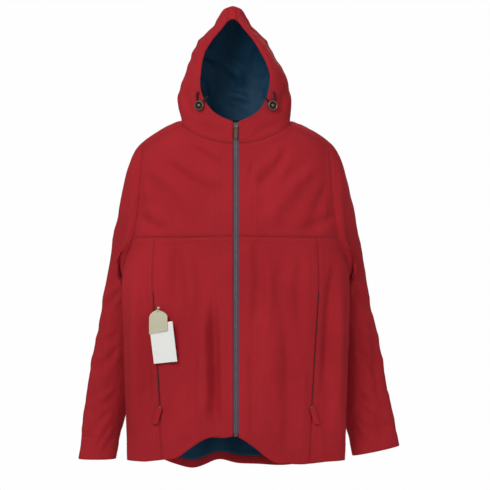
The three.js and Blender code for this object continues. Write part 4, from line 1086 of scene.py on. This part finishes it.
def repeatTree(name, lie):
    # named inputs: Pitch, Length, Thickness, Width, Seed, Finish
    tree = bpy.data.node_groups.new(name, "GeometryNodeTree")
    face = tree.interface
    face.new_socket("Geometry", in_out="INPUT", socket_type="NodeSocketGeometry")
    face.new_socket("Geometry", in_out="OUTPUT", socket_type="NodeSocketGeometry")
    for socket in ("Pitch", "Length", "Thickness", "Width"):
        face.new_socket(socket, in_out="INPUT", socket_type="NodeSocketFloat")
    face.new_socket("Seed", in_out="INPUT", socket_type="NodeSocketInt")
    face.new_socket("Finish", in_out="INPUT", socket_type="NodeSocketMaterial")
    given = addNode(tree, "NodeGroupInput")
    curve = addNode(tree, "GeometryNodeMeshToCurve", None, {"Mesh": given.outputs["Geometry"]})
    even = addNode(tree, "GeometryNodeResampleCurve", {"mode": "LENGTH"},
                   {"Curve": curve.outputs[0], "Length": given.outputs["Pitch"]})
    along = addNode(tree, "GeometryNodeInputTangent")
    turn = addNode(tree, "FunctionNodeAlignRotationToVector", {"axis": "X"}, {"Vector": along.outputs[0]})
    jitter = addNode(tree, "FunctionNodeRandomValue", {"data_type": "FLOAT"},
                     {2: 0.85, 3: 1.12, "Seed": given.outputs["Seed"]})
    size = addNode(tree, "ShaderNodeCombineXYZ", None,
                   {"X": given.outputs["Length"], "Y": given.outputs["Width"],
                    "Z": given.outputs["Thickness"]})
    if lie == "stitch":
        grain = addNode(tree, "GeometryNodeMeshUVSphere", None, {"Segments": 6, "Rings": 4, "Radius": 0.5})
        shape = grain.outputs["Mesh"]
    else:
        block = addNode(tree, "GeometryNodeMeshCube", None,
                        {"Size": (1, 1, 1), "Vertices X": 2, "Vertices Y": 2, "Vertices Z": 2})
        shape = block.outputs["Mesh"]
    scaled = addNode(tree, "ShaderNodeVectorMath", {"operation": "SCALE"},
                     {0: size.outputs[0], "Scale": jitter.outputs[1]})
    placed = addNode(tree, "GeometryNodeInstanceOnPoints", None,
                     {"Points": even.outputs[0], "Instance": shape,
                     "Rotation": turn.outputs[0], "Scale": scaled.outputs[0]})
    real = addNode(tree, "GeometryNodeRealizeInstances", None, {"Geometry": placed.outputs[0]})
    done = addNode(tree, "GeometryNodeSetMaterial", None,
                   {"Geometry": real.outputs[0], "Material": given.outputs["Finish"]})
    addNode(tree, "NodeGroupOutput", None, {"Geometry": done.outputs[0]})
    return tree


def repeatAlong(name, lines, tree, values, material):
    points, edges = [], []
    for line in lines:
        base = len(points)
        points += [(q[0] / 1000, (q[1] + shiftY) / 1000, q[2] / 1000) for q in line]
        edges += [(base + k, base + k + 1) for k in range(len(line) - 1)]
    mesh = bpy.data.meshes.new(name + "Lines")
    mesh.from_pydata(points, edges, [])
    host = newObject(name + "Lines", mesh)
    mod = host.modifiers.new("repeat", "NODES")
    mod.node_group = tree
    sockets = {item.name: item.identifier for item in tree.interface.items_tree
               if item.item_type == "SOCKET" and item.in_out == "INPUT"}
    for key, value in values.items():
        mod[sockets[key]] = value
    mod[sockets["Finish"]] = material
    made = bpy.data.meshes.new_from_object(host.evaluated_get(bpy.context.evaluated_depsgraph_get()))
    host.modifiers.remove(mod)
    bpy.data.objects.remove(host)
    if not made.materials:
        made.materials.append(material)
    made.name = name
    made.shade_smooth()
    return newObject(name, made)


stitchTree = repeatTree("stitchRow", "stitch")
toothTree = repeatTree("toothRow", "tooth")
thread = {"Pitch": 0.0046, "Length": 0.0034, "Thickness": 0.0009, "Width": 0.0009, "Seed": 4}
stitchGap = {"twin": (2.4, 9.0), "zip": (27, 40), "hem": (33,), "cuff": (60, 53), "brim": (8, 26)}


def seamRows(side, gaps, *edges):
    return [seamLine(edge[0], side, edge[1], far, *edge[2:]) for far in stitchGap[gaps] for edge in edges]


for side in ("left", "right"):
    bodyLines = seamRows(side, "twin", ("frontYoke", "low"), ("frontYoke", "high", centreCols / frontCols),
                         ("frontSide", "left"), ("frontYoke", "right"),
                         ("frontSide", "right", lowRows / panelRows), ("backPanel", "left"))
    bodyLines += seamRows(side, "zip", ("frontCentre", "left"), ("frontYoke", "left", 0.0, 0.9))
    bodyLines += seamRows(side, "hem", ("frontCentre", "low"), ("frontSide", "low"), ("backPanel", "low"))
    bodyLines += seamRows(side, "twin", ("backYoke", "low"), ("backYoke", "left"))
    rideBody(repeatAlong("bodyStitches." + side, bodyLines, stitchTree, thread, redThread), "body", "shell")
    cuffLines = seamRows(side, "cuff", ("sleeve", "high"))
    rideBody(repeatAlong("cuffStitches." + side, cuffLines, stitchTree, thread, redThread), "arm_" + side,
             "shell")
    hoodLines = seamRows(side, "twin", ("hoodSide", "right")) + seamRows(side, "twin", ("hoodSide", "low"))
    hoodLines += seamRows(side, "brim", ("hoodSide", "left", 0.1))
    rideBody(repeatAlong("hoodStitches." + side, hoodLines, stitchTree, thread, redThread), "hood", "shell")
print("stitches sewn")

# Hardware carried over from the frame, softened along its edges

def softNode(node, name, width, material, body, slot, angle=35):
    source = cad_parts[node].data
    work = bmesh.new()
    work.from_mesh(source)
    bmesh.ops.remove_doubles(work, verts=work.verts, dist=1e-6)
    bmesh.ops.dissolve_limit(work, angle_limit=math.radians(3), verts=work.verts, edges=work.edges)
    sharp = [e for e in work.edges if e.is_manifold and e.calc_face_angle(0) > math.radians(angle)]
    if width:
        bmesh.ops.bevel(work, geom=sharp, offset=width, segments=2, affect="EDGES", clamp_overlap=True)
    mesh = bpy.data.meshes.new(name)
    work.to_mesh(mesh)
    work.free()
    mesh.materials.clear()
    mesh.materials.append(material)
    uv = mesh.uv_layers.new(name="cloth")
    spots = readArray(mesh.vertices, "co", 3)[readArray(mesh.loops, "vertex_index", 1, np.int32)]
    uv.data.foreach_set("uv", np.ascontiguousarray(spots[:, [0, 2]]).ravel())
    mesh.shade_smooth()
    mesh.set_sharp_from_angle(angle=math.radians(32))
    return rideBody(newObject(name, mesh), body, slot, node)


def reshape(obj, move):
    # moves each point of a plain piece by a rule in the form's own millimetres
    for v in obj.data.vertices:
        v.co = Vector(move(v.co * 1000)) / 1000


tapeShare = 0.36        # how much of the pocket tape's width shows


def thinned(p):
    middle = math.copysign(pocketX(p.z), p.x)
    return (middle + (p.x - middle) * tapeShare, p.y, p.z)


tagTop, tagX = -419.0, -174.0
clothTag = {"drop": 3, "shorter": 0.66, "narrower": 0.86, "aside": 3, "round": 16, "slant": 5,
            "forward": 3.4}
cardTag = {"turn": 0.12, "aside": 14.7, "down": 79, "taller": 1.19}


def tagShape(p):
    # the cloth tag is short, round at its top and slanted below; it hangs in front of the card
    top = tagTop - clothTag["drop"]
    down = (top - p.z) * clothTag["shorter"]
    across = p.x - tagX + 3.5
    lack = max(0.0, 1 - down / clothTag["round"])
    roundness = math.sqrt(max(0.0, 1 - lack ** 2)) if down < clothTag["round"] else 1
    slant = clothTag["slant"] * across / 25 * min(1, down / 50)
    wide = across * clothTag["narrower"] * (0.55 + 0.45 * roundness)
    return (tagX + clothTag["aside"] + wide, p.y - clothTag["forward"], top - down + slant)


def cardShape(p):
    # the card hangs a little turned, its foot towards the zip
    across, down, turn = p.x - tagX - 4, (tagTop - p.z - 46) * cardTag["taller"] - 44, cardTag["turn"]
    return (tagX + cardTag["aside"] + across * math.cos(turn) + down * math.sin(turn), p.y,
            tagTop - cardTag["down"] - down * math.cos(turn) + across * math.sin(turn))


# a cord lock's face: plated rim and knob over a black cup, as radius and height in millimetres
toggleForm = {"ring": [(7.6, -2.6), (10.2, -2.6), (11.0, -1.4), (11.0, 1.2), (10.3, 2.6), (9.0, 3.0),
                       (7.8, 2.2), (7.4, 0.0)],
              "knob": [(0.0, 0.6), (3.2, 0.6), (3.6, 1.6), (3.0, 2.6), (1.6, 3.0), (0.0, 3.1)],
              "cup": [(0.0, -2.2), (7.5, -2.2), (7.5, 0.2), (6.0, 0.8), (0.0, 0.8)]}


def lathe(name, middle, outward, profiles, material, body, slot, *nodes, around=28):
    acrossAxis = np.cross(outward, (0, 0, 1.0))
    acrossAxis /= np.linalg.norm(acrossAxis)
    upAxis = np.cross(acrossAxis, outward)
    work = bmesh.new()
    for profile in profiles:
        closed = profile[0][0] > 0
        rings = []
        for r, h in profile:
            spots = [middle + (acrossAxis * math.cos(t) * r + upAxis * math.sin(t) * r + outward * h) / 1000
                     for t in (2 * math.pi * k / around for k in range(around if r else 1))]
            rings.append([work.verts.new(q) for q in spots])
        for a, b in zip(rings, rings[1:] + (rings[:1] if closed else [])):
            for k in range(around):
                quad = [a[k % len(a)], a[(k + 1) % len(a)], b[(k + 1) % len(b)], b[k % len(b)]]
                work.faces.new([v for m, v in enumerate(quad) if v not in quad[:m]])
    bmesh.ops.recalc_face_normals(work, faces=work.faces)
    mesh = bpy.data.meshes.new(name)
    work.to_mesh(mesh)
    work.free()
    mesh.uv_layers.new(name="cloth")
    mesh.materials.append(material)
    mesh.shade_smooth()
    mesh.set_sharp_from_angle(angle=math.radians(50))
    return rideBody(newObject(name, mesh), body, slot, *nodes)


toothLook = {"Pitch": 0.0030, "Length": 0.0017, "Thickness": 0.0007, "Width": 0.0024, "Seed": 2}
for side in ("left", "right"):
    bar = readArray(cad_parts["zip_teeth_" + side].data.vertices, "co", 3) * 1000
    levels = np.linspace(bar[:, 2].max() - 1.5, bar[:, 2].min() + 1.5, 60)
    reach = [bar[np.argsort(np.abs(bar[:, 2] - level))[:12], 1].min() for level in levels]
    toothLine = [(bar[:, 0].mean(), y - shiftY + 0.25, level) for y, level in zip(reach, levels)]
    rideBody(repeatAlong("zipToothRow." + side, [toothLine], toothTree, toothLook, toothMetal), "body",
             "metal")
for side in ("left", "right"):
    softNode("zip_tape_" + side, "zipTape." + side, 0.0002, tapeCloth, "body", "zip_tape")
    softNode("zip_teeth_" + side, "zipTeeth." + side, 0.0004, toothMetal, "body", "metal")
    reshape(softNode("pocket_zip_" + side, "pocketZip." + side, 0.0003, blackTape, "body", "black_tape"),
            thinned)
    softNode("pocket_slider_" + side, "pocketSlider." + side, 0.0006, bronzeMetal, "pocket_slider_" + side,
             "metal")
    softNode("pocket_pull_" + side, "pocketPull." + side, 0.0004, shellCloth, "pocket_pull_" + side,
             "shell")
    for part in ("elastic", "elastic_end"):
        cordPiece = softNode(f"{part}_{side}", f"{part}.{side}", 0.0, blackTape, "hood", "elastic", 60)
        for v in cordPiece.data.vertices:
            v.co += v.normal * 0.0005
    spots = readArray(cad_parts["toggle_" + side].data.vertices, "co", 3).astype(float)
    middle = (spots.min(axis=0) + spots.max(axis=0)) / 2
    outward = np.linalg.eigh(np.cov((spots - spots.mean(axis=0)).T))[1][:, 0]
    outward *= -np.sign(outward[1])
    lathe("toggleRing." + side, middle, outward, [toggleForm["ring"], toggleForm["knob"]], bronzeMetal,
          "hood", "toggle", "toggle_" + side)
    lathe("toggleCup." + side, middle, outward, [toggleForm["cup"]], blackTape, "hood", "elastic")
softNode("zip_end_box", "zipEndBox", 0.0006, bronzeMetal, "body", "metal")
softNode("zip_slider", "zipSlider", 0.0004, bronzeMetal, "slider", "metal")
softNode("zip_slider_back", "zipSliderBack", 0.0004, bronzeMetal, "slider", "metal")
softNode("zip_pull", "zipPull", 0.0004, bronzeMetal, "pull", "metal")
softNode("hang_loop", "hangLoop", 0.0006, blackTape, "body", "black_tape")
softNode("neck_label", "neckLabel", 0.0002, tapeCloth, "body", "label")
softNode("tag_thread", "tagThread", 0.0006, tagCloth, "body", "tag_cloth")
reshape(softNode("tag_cloth", "tagCloth", 0.0003, tagCloth, "tags", "tag_cloth"), tagShape)
reshape(softNode("tag_card", "tagCard", 0.0002, cardStock, "tags", "tag_card"), cardShape)
print("hardware made")
